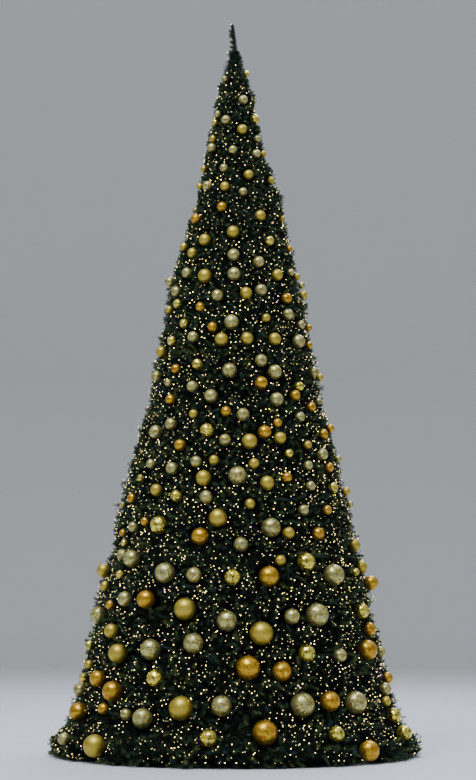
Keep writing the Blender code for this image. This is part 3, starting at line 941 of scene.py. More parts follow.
@dataclass
class Foliage:
    """The needle foliage of every mass: branches on a jittered grid, twigs and needles."""

    crown: Crown
    seed: int = 512
    branch_spacing: float = 0.36
    branch_play: float = 0.35
    branch_short: float = 0.020
    twigs_on_branch: int = 15
    twig_spread: float = 0.27
    twig_play: Pair = (0.8, 1.15)
    twig_depth: float = 0.21
    twig_short: float = 0.022
    stray_short: float = 0.10
    stray_power: int = 4
    twig_sag: Pair = (0.02, 0.20)
    twig_end_gap: float = 0.01
    twig_start_gap: float = 0.02
    twig_bends_at: Triple = (0.0, 0.5, 0.98)
    twig_radii: Triple = (0.0042, 0.0030, 0.0012)
    needles_on_twig: int = 42
    needle_length: float = 0.070
    needle_width: float = 0.0125
    needle_play: Pair = (0.8, 1.15)
    needle_at_end: float = 0.72
    needle_crowding: float = 0.75
    needle_lean: Pair = (66.0, 32.0)
    lean_power: float = 1.5
    lean_play: float = 10.0
    widest_at: float = 0.42
    fold: float = 0.3
    ground_clear: float = 0.006
    bare_share: float = 0.20
    # Share of each twig, from its start, whose needles take the darkest green as painted shade.
    painted_shade_share: float = 0.52
    bauble_clear: float = 0.012
    clear_at: float = 0.6

    def dice(self, mass: Mass, use: int) -> Dice:
        """A mass's own random numbers for one of its uses."""
        return np.random.default_rng(self.seed + 100 * mass.tier + 10 * use + mass.index)

    def branch_places(self, mass: Mass, dice: Dice) -> tuple[Array, Array]:
        """Azimuth and height of each branch: a grid over the mass's outer face, jittered.

        Args:
            mass: The mass's space.
            dice: Its random numbers.

        Returns:
            Azimuths and heights.
        """
        size = float(self.crown.size((mass.low + mass.high) / 2))
        spacing = self.branch_spacing * size
        rows = max(2, round((mass.high - mass.low) / spacing))
        turns, heights = [], []
        for row in range(rows):
            z = blend(mass.low, mass.high, (row + 0.5) / rows)
            columns = max(2, round(2 * mass.half_angle * float(self.crown.radius(z)) / spacing))
            play = dice.uniform(-self.branch_play, self.branch_play, columns)
            shares = (np.arange(columns) + 0.5 + play) / columns
            turns.append((2 * shares - 1) * mass.half_angle)
            play = dice.uniform(-self.branch_play, self.branch_play, columns)
            jitter = play * (mass.high - mass.low) / rows
            heights.append(z + jitter)
        return mass.middle + np.concatenate(turns), np.concatenate(heights)

    def grow(self, mass: Mass) -> Twigs:
        """Twigs of one mass.

        Each branch fans out into twigs whose ends lie on a sunflower pattern round it, at the
        crown's outline. A twig starts nearer its branch, deeper in the crown.

        Args:
            mass: The mass's space.

        Returns:
            The twigs, each inside the mass's space.
        """
        dice = self.dice(mass, 0)
        azimuth, height = self.branch_places(mass, dice)
        count, fan = len(azimuth), self.twigs_on_branch
        size = np.asarray(self.crown.size(height))[:, None]
        spin = dice.uniform(0, TURN, count)[:, None] + np.arange(fan) * GOLDEN_ANGLE
        reach = self.twig_spread * size * np.sqrt((np.arange(fan) + 0.5) / fan)
        reach = reach * dice.uniform(*self.twig_play, (count, fan))
        side, rise = reach * np.cos(spin), reach * np.sin(spin)
        end_z = np.clip(height[:, None] + rise, mass.low + self.twig_end_gap, mass.high)
        own = np.abs(dice.normal(0, self.branch_short, (count, 1)))
        short = own + np.abs(dice.normal(0, self.twig_short, (count, fan)))
        short = short + self.stray_short * dice.random((count, fan)) ** self.stray_power
        turn = azimuth[:, None] + side / self.crown.radius(end_z) - mass.middle
        turn = np.clip(turn, -mass.half_angle, mass.half_angle)
        outline = self.crown.radius(end_z)
        end_radius = outline + self.crown.lumps(at(mass.middle + turn, outline, end_z)) - short * size
        ends = at(mass.middle + turn, end_radius, end_z)
        start_z = np.maximum(height, mass.low + self.twig_start_gap)[:, None]
        start_radius = self.crown.radius(start_z) - (self.twig_depth + own) * size
        starts = np.repeat(at(azimuth[:, None], start_radius, start_z), fan, axis=1)
        length = np.linalg.norm(ends - starts, axis=-1, keepdims=True)
        bends = (starts + ends) / 2 - UP * length * dice.uniform(*self.twig_sag, (count, fan, 1))
        greens = dice.choice(len(NEEDLE_FINISHES), size=count * fan, p=NEEDLE_SHARES)
        sizes = np.broadcast_to(size, (count, fan)).ravel()
        return Twigs(starts.reshape(-1, 3), bends.reshape(-1, 3), ends.reshape(-1, 3), sizes, greens)

    def needle_shares(self, count: int) -> Array:
        """How far along its twig each needle stands: closer together towards the end."""
        return self.bare_share + (1 - self.bare_share) * np.linspace(0, 1, count) ** self.needle_crowding

    def needles(self, twigs: Twigs, dice: Dice, length: float, count: int) -> Shape:
        """Needles round twigs: each is a narrow kite folded along its middle, of two triangles.

        They stand round the twig by the golden angle and lean forward more towards its end.

        Args:
            twigs: The twigs.
            dice: Random numbers.
            length: Length of a needle at size one.
            count: Number of needles on a twig.

        Returns:
            All the needles as one shape.
        """
        share = self.needle_shares(count)
        points, ahead = twigs.along(share)
        many = len(points)
        first = unit(np.cross(ahead, dice.normal(size=(many, 1, 3))))
        second = np.cross(ahead, first)
        spin = dice.uniform(0, TURN, (many, 1)) + np.arange(count) * GOLDEN_ANGLE
        out = first * np.cos(spin)[..., None] + second * np.sin(spin)[..., None]
        play = dice.uniform(-self.lean_play, self.lean_play, (many, count))
        lean = np.radians(blend(*self.needle_lean, share**self.lean_power) + play)
        way = ahead * np.cos(lean)[..., None] + out * np.sin(lean)[..., None]
        long = length * np.sqrt(twigs.sizes)[:, None] * dice.uniform(*self.needle_play, (many, count))
        long = long * blend(1.0, self.needle_at_end, share)
        across = unit(np.cross(way, out))
        wide = self.needle_width / self.needle_length * long
        middle = points + way * self.widest_at * long[..., None]
        fold = np.cross(way, across) * (self.fold * wide)[..., None]
        left = middle + across * (wide / 2)[..., None] + fold
        right = middle - across * (wide / 2)[..., None] + fold
        tip = points + way * long[..., None]
        corners = np.stack([points, right, tip, left], axis=2).reshape(-1, 3)
        corners[:, 2] = np.maximum(corners[:, 2], self.ground_clear)
        start = 4 * np.arange(many * count)[:, None]
        triangles = np.stack([start + [0, 1, 2], start + [0, 2, 3]], axis=1).reshape(-1, 3)
        return Shape(corners, triangles)

    def greens(self, twigs: Twigs, count: int) -> Whole:
        """Which green each needle's two triangles take: the darkest green as painted shade on the inner
        part of each twig, deep in the crown, and the twig's own green outside.

        Args:
            twigs: The twigs.
            count: Number of needles on a twig.

        Returns:
            Places in the list of greens.
        """
        # Needles on the inner part of a twig take the darkest green: painted shade for the inside of the
        # crown.
        inside = self.needle_shares(count) < self.painted_shade_share
        kinds = np.where(inside[None], 0, twigs.greens[:, None])
        return np.repeat(kinds.ravel(), 2)

    def wood(self, twigs: Twigs) -> Shape:
        """The wire twigs: three-sided limbs that taper to the end.

        Args:
            twigs: The twigs.

        Returns:
            Their wood.
        """
        points, _ = twigs.along(np.array(self.twig_bends_at))
        radii = np.array(self.twig_radii) * twigs.sizes[:, None]
        points[..., 2] = np.maximum(points[..., 2], self.ground_clear)
        return tubes(points, radii, 3)

    def clear_of(self, hung: "Hung", twigs: Twigs) -> Twigs:
        """The twigs that aren't in the way of a bauble, at their ends or further in.

        Args:
            hung: The baubles.
            twigs: All the twigs.

        Returns:
            Those that stay.
        """
        inside = twigs.along(np.array([self.clear_at]))[0][:, 0]
        hidden = [hung.near(points, self.bauble_clear) for points in (twigs.ends, inside)]
        return twigs.kept(~(hidden[0] | hidden[1]))

    def make(self, hung: "Hung", greens: list[Material]) -> list[tuple[Mass, Twigs]]:
        """Makes the needles, one piece a tier.

        Args:
            hung: The baubles, which no twig hides.
            greens: The needles' finishes.

        Returns:
            Every mass with its twigs.
        """
        grown, count = [], self.needles_on_twig
        for tier in range(len(self.crown.masses_in_tier)):
            nodes = tuple(mass.node for mass in self.crown.masses(tier))
            piece = Piece(f"needles_tier_{tier + 1}", greens, "needles", nodes=nodes, smooth=False)
            for mass in self.crown.masses(tier):
                twigs = self.clear_of(hung, self.grow(mass))
                shape = self.needles(twigs, self.dice(mass, 1), self.needle_length, count)
                piece.add(shape, self.greens(twigs, count))
                grown.append((mass, twigs))
            piece.make()
        return grown


@dataclass
class Thicket:
    """The dense inner foliage: a closed shell with a ragged face, outside the open middle, in a finish of
    painted shade.

    The outer face is a grid of azimuth and height at an even depth under the crown's outline,
    and every point is pushed in or out at random. The shell turns in at the top and comes down
    again at the radius of the open middle.
    """

    crown: Crown
    seed: int = 77
    depth: float = 0.145
    most_depth: float = 0.28
    around: int = 168
    rows: int = 190
    inner_rows: int = 40
    raggedness: float = 0.065
    most_raggedness: float = 0.10
    bauble_gap: float = 0.045
    skirt_depth: float = 0.115
    skirt_to: float = 0.45
    foot: float = 0.07
    top: float = 9.61
    inner_gap: float = 0.01
    inner_raggedness: float = 0.008
    upward_share: float = 0.5
    least_radius: float = 0.03

    def make(self, hung: "Hung", material: Material) -> None:
        """Makes the shell.

        Args:
            hung: The baubles, which the shell stays behind.
            material: The dense foliage's finish, which is painted shade.
        """
        dice = np.random.default_rng(self.seed)
        outer_z = np.linspace(self.foot, self.top, self.rows)
        inner_z = np.linspace(self.top, self.foot, self.inner_rows)
        size = np.asarray(self.crown.size(outer_z))
        outline = self.crown.spire(outer_z)
        near_ground = np.exp(-((outer_z / self.skirt_to) ** 2))
        depth = blend(self.depth * size, self.skirt_depth, near_ground)
        outer = outline - np.minimum(depth, self.most_depth * outline)
        inner = np.minimum(self.crown.hollow(inner_z), np.interp(inner_z, outer_z, outer) - self.inner_gap)
        z = np.concatenate([outer_z, inner_z])[:, None]
        azimuth = TURN * np.arange(self.around) / self.around
        lumps = self.crown.lumps(at(azimuth, outer[:, None], outer_z[:, None]))
        radius = np.concatenate([outer[:, None] + lumps, np.repeat(inner[:, None], self.around, axis=1)])
        rough = np.minimum(self.raggedness * size, self.most_raggedness * outline)
        ragged = np.concatenate([rough, np.full(self.inner_rows, self.inner_raggedness)])[:, None]
        shape = (len(radius), self.around)
        radius = np.maximum(radius + ragged * dice.uniform(-1, 1, shape), self.least_radius)
        z = z + self.upward_share * ragged * dice.uniform(-1, 1, shape)
        points = hung.behind(at(azimuth[None], radius, z).reshape(-1, 3), self.bauble_gap)
        shell = Shape(points, quads=closed_grid(*shape))
        Piece("inner_foliage", [material], "needles", [shell], smooth=False).make()


# Baubles


class Skin(Enum):
    """The kinds of bauble on the tree."""

    SATIN = "satin_gold"
    PEARL = "champagne"
    AMBER = "amber"
    MIRROR = "mirror_gold"


BAUBLE_FINISHES = {
    Skin.SATIN: BaubleFinish(
        "satin_gold", colour=(0.53, 0.43, 0.070), cloud_tone_and_dark_reflection=(0.50, 0.34, 0.030), swirl_and_glint_line=(0.53, 0.42, 0.06),
        metallic=0.82, roughness=0.43, line_roughness=0.43, lines_scale=1.0, thickness=0.01,
        crinkle=0.0, coat=0.0,
    ),
    # Champagne's thick bright yellow lines are partly a swirl pattern and partly a painted reflection
    # band.
    Skin.PEARL: BaubleFinish(
        "champagne", colour=(0.37, 0.36, 0.16), cloud_tone_and_dark_reflection=(0.22, 0.165, 0.04), swirl_and_glint_line=(1.0, 0.86, 0.14),
        metallic=0.72, roughness=0.38, line_roughness=0.20, lines_scale=0.50, thickness=0.25,
        crinkle=0.12, coat=0.42, cloud_edges=(0.42, 0.60),
    ),
    # Amber's yellow lines are partly a swirl pattern and partly painted reflections.
    Skin.AMBER: BaubleFinish(
        "amber", colour=(0.54, 0.30, 0.012), cloud_tone_and_dark_reflection=(0.40, 0.165, 0.006), swirl_and_glint_line=(0.96, 0.66, 0.04),
        metallic=0.80, roughness=0.34, line_roughness=0.18, lines_scale=0.55, thickness=0.22,
        crinkle=0.10, coat=0.16, cloud_edges=(0.40, 0.62),
    ),
    # Mirror gold's near-black second tone is a painted dark reflection in the foil's creases, and its
    # bright yellow lines are partly a painted reflection.
    Skin.MIRROR: BaubleFinish(
        "mirror_gold", colour=(0.86, 0.67, 0.050), cloud_tone_and_dark_reflection=(0.13, 0.078, 0.006), swirl_and_glint_line=(1.0, 0.94, 0.18),
        metallic=0.84, roughness=0.12, line_roughness=0.10, lines_scale=0.8, thickness=0.28,
        crinkle=0.34, coat=0.45, cloud_edges=(0.48, 0.60), crinkle_scale=0.95,
    ),
}


@dataclass(frozen=True)
class Seen:
    """A bauble in the photograph: its middle and its width, in the photograph's pixels."""

    x: float
    y: float
    wide: float


FRONT: dict[Skin, tuple[Seen, ...]] = {
    Skin.SATIN: (
        Seen(x=242, y=129.5, wide=10.5), Seen(x=270, y=181, wide=9), Seen(x=281.5, y=219.5, wide=7),
        Seen(x=263, y=154, wide=7), Seen(x=296.5, y=277, wide=7), Seen(x=204, y=169, wide=7),
        Seen(x=319.5, y=377.5, wide=8), Seen(x=214, y=460, wide=10.5), Seen(x=267, y=483, wide=15),
        Seen(x=200, y=186.5, wide=7),
        Seen(x=248.5, y=175, wide=10.5), Seen(x=225, y=186.5, wide=10), Seen(x=260, y=216, wide=12),
        Seen(x=233, y=232, wide=13), Seen(x=205, y=240, wide=12.5), Seen(x=184, y=247, wide=9),
        Seen(x=192.5, y=253, wide=10.5), Seen(x=205, y=276, wide=14.5), Seen(x=277, y=275, wide=12),
        Seen(x=246, y=293, wide=12.5), Seen(x=303, y=295, wide=9), Seen(x=169.5, y=310, wide=9),
        Seen(x=266, y=318, wide=9), Seen(x=247, y=338.5, wide=13), Seen(x=274.5, y=339, wide=13),
        Seen(x=221.5, y=339.5, wide=14), Seen(x=162, y=352, wide=12.5), Seen(x=193.5, y=414, wide=9.5),
        Seen(x=280, y=438, wide=12.5), Seen(x=249.5, y=441.5, wide=16), Seen(x=307.5, y=445, wide=9),
        Seen(x=254, y=463.5, wide=11), Seen(x=203.5, y=478, wide=16), Seen(x=156.5, y=490, wide=12.5),
        Seen(x=346, y=491.5, wide=9), Seen(x=250, y=504, wide=11), Seen(x=218, y=518, wide=18.5),
        Seen(x=288.5, y=533, wide=12.5), Seen(x=354, y=545.5, wide=13), Seen(x=386, y=701.5, wide=10),
        Seen(x=280.5, y=560.5, wide=11), Seen(x=361, y=567, wide=13), Seen(x=103.5, y=570.5, wide=14),
        Seen(x=105, y=586, wide=10), Seen(x=185, y=609, wide=22.5), Seen(x=111.5, y=631, wide=15),
        Seen(x=261.5, y=633.5, wide=24), Seen(x=118, y=653.5, wide=19.5), Seen(x=89, y=664.5, wide=9),
        Seen(x=181, y=708.5, wide=25), Seen(x=93, y=746, wide=23), Seen(x=213, y=138.8, wide=7),
    ),
    Skin.PEARL: (
        Seen(x=243, y=100, wide=10), Seen(x=226, y=120, wide=10), Seen(x=257, y=139, wide=8),
        Seen(x=225, y=79, wide=8), Seen(x=218, y=114, wide=7), Seen(x=224, y=168, wide=9),
        Seen(x=290.5, y=272.5, wide=7.5), Seen(x=301.5, y=285.5, wide=6.5), Seen(x=300.5, y=325, wide=9),
        Seen(x=318.5, y=401.5, wide=7),
        Seen(x=212, y=148, wide=10), Seen(x=233, y=150, wide=9.5), Seen(x=256, y=154, wide=9.5),
        Seen(x=207.5, y=186, wide=10.5), Seen(x=243, y=192, wide=9.5), Seen(x=233.5, y=255, wide=13),
        Seen(x=258.5, y=262, wide=12), Seen(x=187, y=273, wide=11), Seen(x=234, y=274, wide=14),
        Seen(x=170, y=282, wide=11), Seen(x=176.5, y=291.5, wide=11), Seen(x=261, y=290, wide=12.5),
        Seen(x=217.5, y=295.5, wide=12.5), Seen(x=288, y=314.5, wide=11.5),
        Seen(x=231.5, y=322, wide=15.5), Seen(x=193, y=337, wide=11.5),
        Seen(x=298, y=341.5, wide=14.5), Seen(x=261, y=360.5, wide=13),
        Seen(x=229.5, y=370.5, wide=15.5), Seen(x=274.5, y=372, wide=15), Seen(x=313, y=373, wide=13),
        Seen(x=157, y=376.5, wide=12), Seen(x=168.5, y=383, wide=8), Seen(x=192.5, y=386.5, wide=12),
        Seen(x=211, y=396, wide=14), Seen(x=276.5, y=399.5, wide=14.5),
        Seen(x=243, y=414.5, wide=13.5), Seen(x=300, y=417, wide=10.5), Seen(x=171, y=424, wide=12.5),
        Seen(x=156, y=432, wide=14), Seen(x=225, y=440, wide=12.5), Seen(x=322, y=454.5, wide=12.5),
        Seen(x=338, y=459, wide=8), Seen(x=196, y=461.5, wide=12), Seen(x=151, y=464, wide=10),
        Seen(x=308, y=465.5, wide=10), Seen(x=172, y=468.5, wide=13), Seen(x=237.5, y=475.5, wide=19),
        Seen(x=310.5, y=486, wide=10), Seen(x=206, y=497, wide=13.5), Seen(x=303.5, y=510, wide=11),
        Seen(x=271, y=527.5, wide=20), Seen(x=133.5, y=527, wide=11), Seen(x=241, y=544.5, wide=15),
        Seen(x=165, y=573, wide=21), Seen(x=194, y=575, wide=16), Seen(x=333.5, y=575, wide=22),
        Seen(x=125, y=599, wide=15.5), Seen(x=99, y=615, wide=18), Seen(x=317, y=615, wide=24),
        Seen(x=292, y=616.5, wide=16), Seen(x=227, y=621, wide=21), Seen(x=193.5, y=643.5, wide=21),
        Seen(x=150.5, y=649.5, wide=21), Seen(x=380, y=652, wide=12), Seen(x=340, y=655.5, wide=14),
        Seen(x=385, y=689, wide=13), Seen(x=80, y=690, wide=14), Seen(x=355.5, y=702.5, wide=23),
        Seen(x=302.5, y=705, wide=25), Seen(x=221.5, y=706, wide=21), Seen(x=126, y=714.5, wide=12),
        Seen(x=142.5, y=718.5, wide=21), Seen(x=64, y=739, wide=13),
        Seen(x=132, y=559, wide=18), Seen(x=122.5, y=555, wide=12), Seen(x=123, y=505, wide=7),
        Seen(x=350, y=504.5, wide=7),
    ),
    Skin.AMBER: (
        Seen(x=289, y=249, wide=6.5), Seen(x=222, y=207, wide=10.5), Seen(x=196, y=219, wide=11),
        Seen(x=286.5, y=298.5, wide=11.5), Seen(x=200.5, y=307, wide=10),
        Seen(x=212.5, y=327, wide=10.5), Seen(x=308.5, y=328, wide=7.5), Seen(x=176, y=369, wide=10),
        Seen(x=261, y=383, wide=14), Seen(x=295, y=395.5, wide=11), Seen(x=170.5, y=399.5, wide=10.5),
        Seen(x=311, y=407, wide=10), Seen(x=226, y=411.5, wide=11), Seen(x=277.5, y=423, wide=9.5),
        Seen(x=330, y=428.5, wide=9), Seen(x=264.5, y=432, wide=14), Seen(x=323, y=434.5, wide=11),
        Seen(x=180, y=445, wide=12), Seen(x=308.5, y=345.5, wide=8), Seen(x=329, y=467.5, wide=10),
        Seen(x=287, y=477.5, wide=10.5), Seen(x=327, y=510, wide=10),
        Seen(x=145, y=521.5, wide=9), Seen(x=318, y=533.5, wide=13), Seen(x=200, y=536.5, wide=18),
        Seen(x=269, y=576.5, wide=21), Seen(x=371, y=583, wide=15), Seen(x=146, y=599.5, wide=19),
        Seen(x=110.5, y=605, wide=10), Seen(x=369, y=629, wide=14), Seen(x=367, y=650, wide=21),
        Seen(x=248, y=668, wide=25), Seen(x=282, y=671.5, wide=20), Seen(x=387, y=678, wide=12),
        Seen(x=98, y=678.5, wide=17), Seen(x=112.5, y=691.5, wide=21), Seen(x=330, y=701.5, wide=20.5),
        Seen(x=103.5, y=709, wide=12), Seen(x=79, y=712, wide=20), Seen(x=265, y=733, wide=26),
        Seen(x=372, y=751, wide=21), Seen(x=132, y=498, wide=10), Seen(x=123, y=533, wide=8),
    ),
    Skin.MIRROR: (
        Seen(x=246, y=74, wide=6), Seen(x=269, y=241, wide=11), Seen(x=178, y=304, wide=10),
        Seen(x=184.5, y=323.5, wide=10), Seen(x=172, y=341, wide=10), Seen(x=197.5, y=364.5, wide=12),
        Seen(x=299, y=386.5, wide=10.5), Seen(x=207, y=430.5, wide=15), Seen(x=289, y=453.5, wide=9),
        Seen(x=141, y=478, wide=8), Seen(x=333, y=488, wide=11), Seen(x=176.5, y=496, wide=12.5),
        Seen(x=159, y=525, wide=18.5), Seen(x=306, y=562, wide=19), Seen(x=120, y=574.5, wide=9),
        Seen(x=232.5, y=577.5, wide=17), Seen(x=361.5, y=611, wide=16), Seen(x=90, y=645.5, wide=10),
        Seen(x=307, y=653.5, wide=18), Seen(x=84, y=678, wide=10), Seen(x=155, y=678.5, wide=18),
        Seen(x=393, y=716, wide=17), Seen(x=404, y=733, wide=16), Seen(x=336.5, y=734.5, wide=17),
        Seen(x=208.5, y=739, wide=19), Seen(x=124.5, y=543, wide=7), Seen(x=355.5, y=572, wide=7),
        Seen(x=254, y=119.5, wide=11), Seen(x=215, y=122.8, wide=7),
    ),
}


@dataclass(frozen=True)
class Hung:
    """Baubles on the tree: their middles, radii, the ways their tops and fronts point, and kinds.

    The front is the side that nothing hangs before: towards the photograph's camera, or
    straight out from the mast for a bauble that the photograph doesn't show. It is kept open
    for a length, over a share of the bauble's width, from a little behind the middle.
    """

    middles: Array
    radii: Array
    axes: Array
    fronts: Array
    skins: Whole
    open_length: float = 0.45
    open_share: float = 0.95
    open_from: float = -0.2

    def outward(self) -> Array:
        """The level direction from the mast's axis to each bauble."""
        return unit(self.middles * LEVEL)

    def joined(self, other: "Hung") -> "Hung":
        """These baubles and others.

        Args:
            other: The others.

        Returns:
            All of them, these first.
        """
        ours = (self.middles, self.radii, self.axes, self.fronts, self.skins)
        theirs = (other.middles, other.radii, other.axes, other.fronts, other.skins)
        return Hung(*(np.concatenate(pair) for pair in zip(ours, theirs)))

    def in_the_way(self, points: Array, clearance: float) -> Iterator[tuple[float, Whole]]:
        """Goes through the baubles and finds the points inside each one or straight in front.

        Args:
            points: The points.
            clearance: How much wider than each bauble the space is.

        Yields:
            The distance from the mast's axis to just behind the bauble, and which points.
        """
        for middle, radius, out, front in zip(self.middles, self.radii, self.outward(), self.fronts):
            reach = radius + clearance + self.open_length
            close = np.flatnonzero((np.abs(points - middle) < reach).all(axis=1))
            offset = points[close] - middle
            hidden = np.linalg.norm(offset, axis=1) < radius + clearance
            for way in (out, front):
                ahead = offset @ way
                aside = np.linalg.norm(offset - ahead[:, None] * way, axis=1)
                beside = aside < radius * self.open_share + clearance
                hidden |= beside & (ahead > self.open_from * radius)
            yield float(np.linalg.norm(middle[:2])) - radius - clearance, close[hidden]

    def near(self, points: Array, clearance: float) -> Truth:
        """Whether each point is in the way of a bauble.

        Args:
            points: The points.
            clearance: How much wider than each bauble the space is.

        Returns:
            True where it is.
        """
        found = np.zeros(len(points), bool)
        for _, those in self.in_the_way(points, clearance):
            found[those] = True
        return found

    def behind(self, points: Array, clearance: float) -> Array:
        """The points, with each that is in the way of a bauble drawn in behind it.

        Args:
            points: The points.
            clearance: How much wider than each bauble the space is.

        Returns:
            The new points.
        """
        moved = points.copy()
        for limit, those in self.in_the_way(points, clearance):
            reach = np.linalg.norm(moved[those, :2], axis=1)
            moved[those, :2] *= np.minimum(1.0, limit / reach)[:, None]
        return moved


@dataclass
class Baubles:
    """Every bauble: those that the photograph shows, and more like them round the back.

    A ball's grid is its least and largest radius, its sides and its rings. The cap, the loop and
    the top of the tie wire are sized for a ball of radius one. The loop's sizes are its radius,
    its thickness and its two numbers of corners. The tie wire goes in by a share of the radius
    and a length, and its knee lies a share of that along and a share above.
    """

    crown: Crown
    camera: PhotoCamera
    seed: int = 31
    stand_off: float = 0.34
    depth_range: Pair = (19.0, 23.5)
    depth_steps: int = 1800
    first_depth: float = 21.0
    depth_rounds: int = 3
    lean: float = 0.10
    back_count: int = 190
    back_squares: Pair = (0.03, 0.985)
    back_gap: float = 0.085
    least_radius: float = 0.05
    ground_gap: float = 0.02
    side_limit: float = 2.44
    seen_angle: float = math.radians(98)
    largest_at_foot: float = 0.29
    largest_at_top: float = 0.13
    size_steps: tuple[float, ...] = (1.0, 0.86, 0.68, 0.52, 0.42)
    ball_grids: tuple[tuple[float, float, int, int], ...] = (
        (0.0, 0.075, 14, 9), (0.075, 0.11, 18, 11), (0.11, 1.0, 22, 14),
    )
    pattern_radius: float = 0.10
    pattern_spread: float = 20.0
    cap_profile: Profile = ((0.115, 0.985), (0.11, 1.04), (0.08, 1.06), (0.03, 1.065))
    cap_sides: int = 10
    loop_at: float = 1.095
    loop_sizes: tuple[float, float, int, int] = (0.038, 0.009, 8, 3)
    tie_top: float = 1.13
    tie_depth: Pair = (0.9, 0.05)
    tie_knee: Pair = (0.45, 0.25)
    tie_radius: float = 0.0014

    def surface(self, z: Array, radius: Array) -> Array:
        """How far from the mast's axis the middle of a bauble of this radius hangs."""
        return self.crown.radius(z) - self.stand_off * 2 * radius

    def front(self) -> Hung:
        """The baubles in the photograph, put back on the crown.

        Each one's middle lies on the ray through its pixel, at the first place where the ray
        meets the baubles' surface or, where it passes beside the tree, at its nearest place.

        Returns:
            The baubles.
        """
        skins = list(Skin)
        rows = [(s.x, s.y, s.wide, skins.index(skin)) for skin, group in FRONT.items() for s in group]
        x, y, wide, kind = np.array(rows, float).T
        rays = self.camera.rays(x, y)
        eye = np.array(self.camera.eye)
        steps = np.linspace(*self.depth_range, self.depth_steps)
        radius = wide * self.first_depth / self.camera.focal_px / 2
        for _ in range(self.depth_rounds):
            points = eye + rays[:, None] * steps[:, None]
            away = np.linalg.norm(points[..., :2], axis=-1) - self.surface(points[..., 2], radius[:, None])
            first = np.where((away < 0).any(axis=1), (away < 0).argmax(axis=1), away.argmin(axis=1))
            depth = steps[first]
            radius = np.maximum(wide * depth / self.camera.focal_px / 2, self.least_radius)
        middles = eye + rays * depth[:, None]
        middles[:, 2] = np.maximum(middles[:, 2], radius + self.ground_gap)
        return self.hang(middles, radius, unit(eye - middles), kind.astype(int))

    def hang(self, middles: Array, radii: Array, fronts: Array, skins: Whole) -> Hung:
        """Baubles at these middles, with their tops up and a little aside.

        Args:
            middles: Their middles, which are drawn in where they would hang past the side limit.
            radii: Their radii.
            fronts: The ways that their fronts point.
            skins: Their kinds.

        Returns:
            The baubles.
        """
        dice = np.random.default_rng(self.seed + len(middles))
        reach = np.linalg.norm(middles[:, :2], axis=1)
        scale = np.minimum(1.0, (self.side_limit - radii) / reach)
        middles = middles * np.stack([scale, scale, np.ones(len(scale))], axis=-1)
        lean = dice.normal(0, self.lean, (len(middles), 3))
        return Hung(middles, radii, unit(UP + lean), fronts, skins)

    def back(self, front: Hung) -> Hung:
        """More baubles at random where the photograph doesn't see, none of them touching.

        Args:
            front: The baubles that are already there.

        Returns:
            The new baubles.
        """
        dice = np.random.default_rng(self.seed)
        middles, radii = list(front.middles), list(front.radii)
        shares = np.bincount(front.skins, minlength=len(Skin)) / len(front.skins)
        while len(middles) < len(front.middles) + self.back_count:
            z = self.crown.height * (1 - math.sqrt(dice.uniform(*self.back_squares)))
            azimuth = dice.uniform(self.seen_angle, TURN - self.seen_angle) - math.pi / 2
            largest = blend(self.largest_at_foot, self.largest_at_top, z / self.crown.leader_foot)
            radius = max(largest * dice.choice(self.size_steps) / 2, self.least_radius)
            z = max(z, radius + self.ground_gap)
            middle = at(azimuth, self.surface(z, radius), z)
            gaps = np.linalg.norm(np.array(middles) - middle, axis=1) - np.array(radii) - radius
            if gaps.min() > self.back_gap:
                middles.append(middle)
                radii.append(radius)
        count = len(front.middles)
        kinds = dice.choice(len(Skin), size=self.back_count, p=shares)
        new = np.array(middles[count:])
        return self.hang(new, np.array(radii[count:]), unit(new * LEVEL), kinds)

    def place(self) -> Hung:
        """Every bauble of the tree."""
        front = self.front()
        return front.joined(self.back(front))

    def balls(self, hung: Hung, swirls: NodeTree) -> None:
        """Makes the balls, one mesh a kind, with finer ones where the bauble is larger.

        Args:
            hung: The baubles.
            swirls: The shared group of swirling lines.
        """
        dice = np.random.default_rng(self.seed + 2)
        for index, skin in enumerate(Skin):
            finish = BAUBLE_FINISHES[skin].make(swirls)
            piece = Piece(f"baubles_{skin.value}", [finish], skin.value)
            for low, high, sides, rings in self.ball_grids:
                shape = ball(sides, rings)
                chosen = (hung.skins == index) & (hung.radii >= low) & (hung.radii < high)
                count = int(chosen.sum())
                if not count:
                    continue
                frames = frames_along(hung.axes[chosen], dice.uniform(0, TURN, count))
                copies = shape.copies(hung.middles[chosen], frames, hung.radii[chosen])
                own = dice.uniform(-self.pattern_spread, self.pattern_spread, (count, 1, 3))
                scale = (hung.radii[chosen] / self.pattern_radius)[:, None, None] ** 0.5
                piece.add(copies, marks=(shape.points[None] * scale + own).reshape(-1, 3))
            piece.make()

    def caps(self, hung: Hung, metal: Material) -> None:
        """Makes the cap, loop and tie wire of every bauble.

        Args:
            hung: The baubles.
            metal: The caps' finish.
        """
        dice = np.random.default_rng(self.seed + 3)
        count = len(hung.radii)
        frames = frames_along(hung.axes, dice.uniform(0, TURN, count))
        cap = turned(self.cap_profile, self.cap_sides)
        loop = ring_shape(*self.loop_sizes)
        loop = Shape(loop.points + UP * self.loop_at, quads=loop.quads)
        shapes = [shape.copies(hung.middles, frames, hung.radii) for shape in (cap, loop)]
        tops = hung.middles + hung.axes * (self.tie_top * hung.radii)[:, None]
        inward = -hung.outward()
        share, least = self.tie_depth
        depth = (hung.radii * share + least)[:, None]
        along, above = self.tie_knee
        knee = tops + inward * depth * along + UP * above * depth
        wires = np.stack([tops, knee, tops + inward * depth], axis=1)
        shapes.append(tubes(wires, np.full((count, 3), self.tie_radius), 3))
        Piece("bauble_caps", [metal], "bauble_caps", shapes).make()


# Light strings


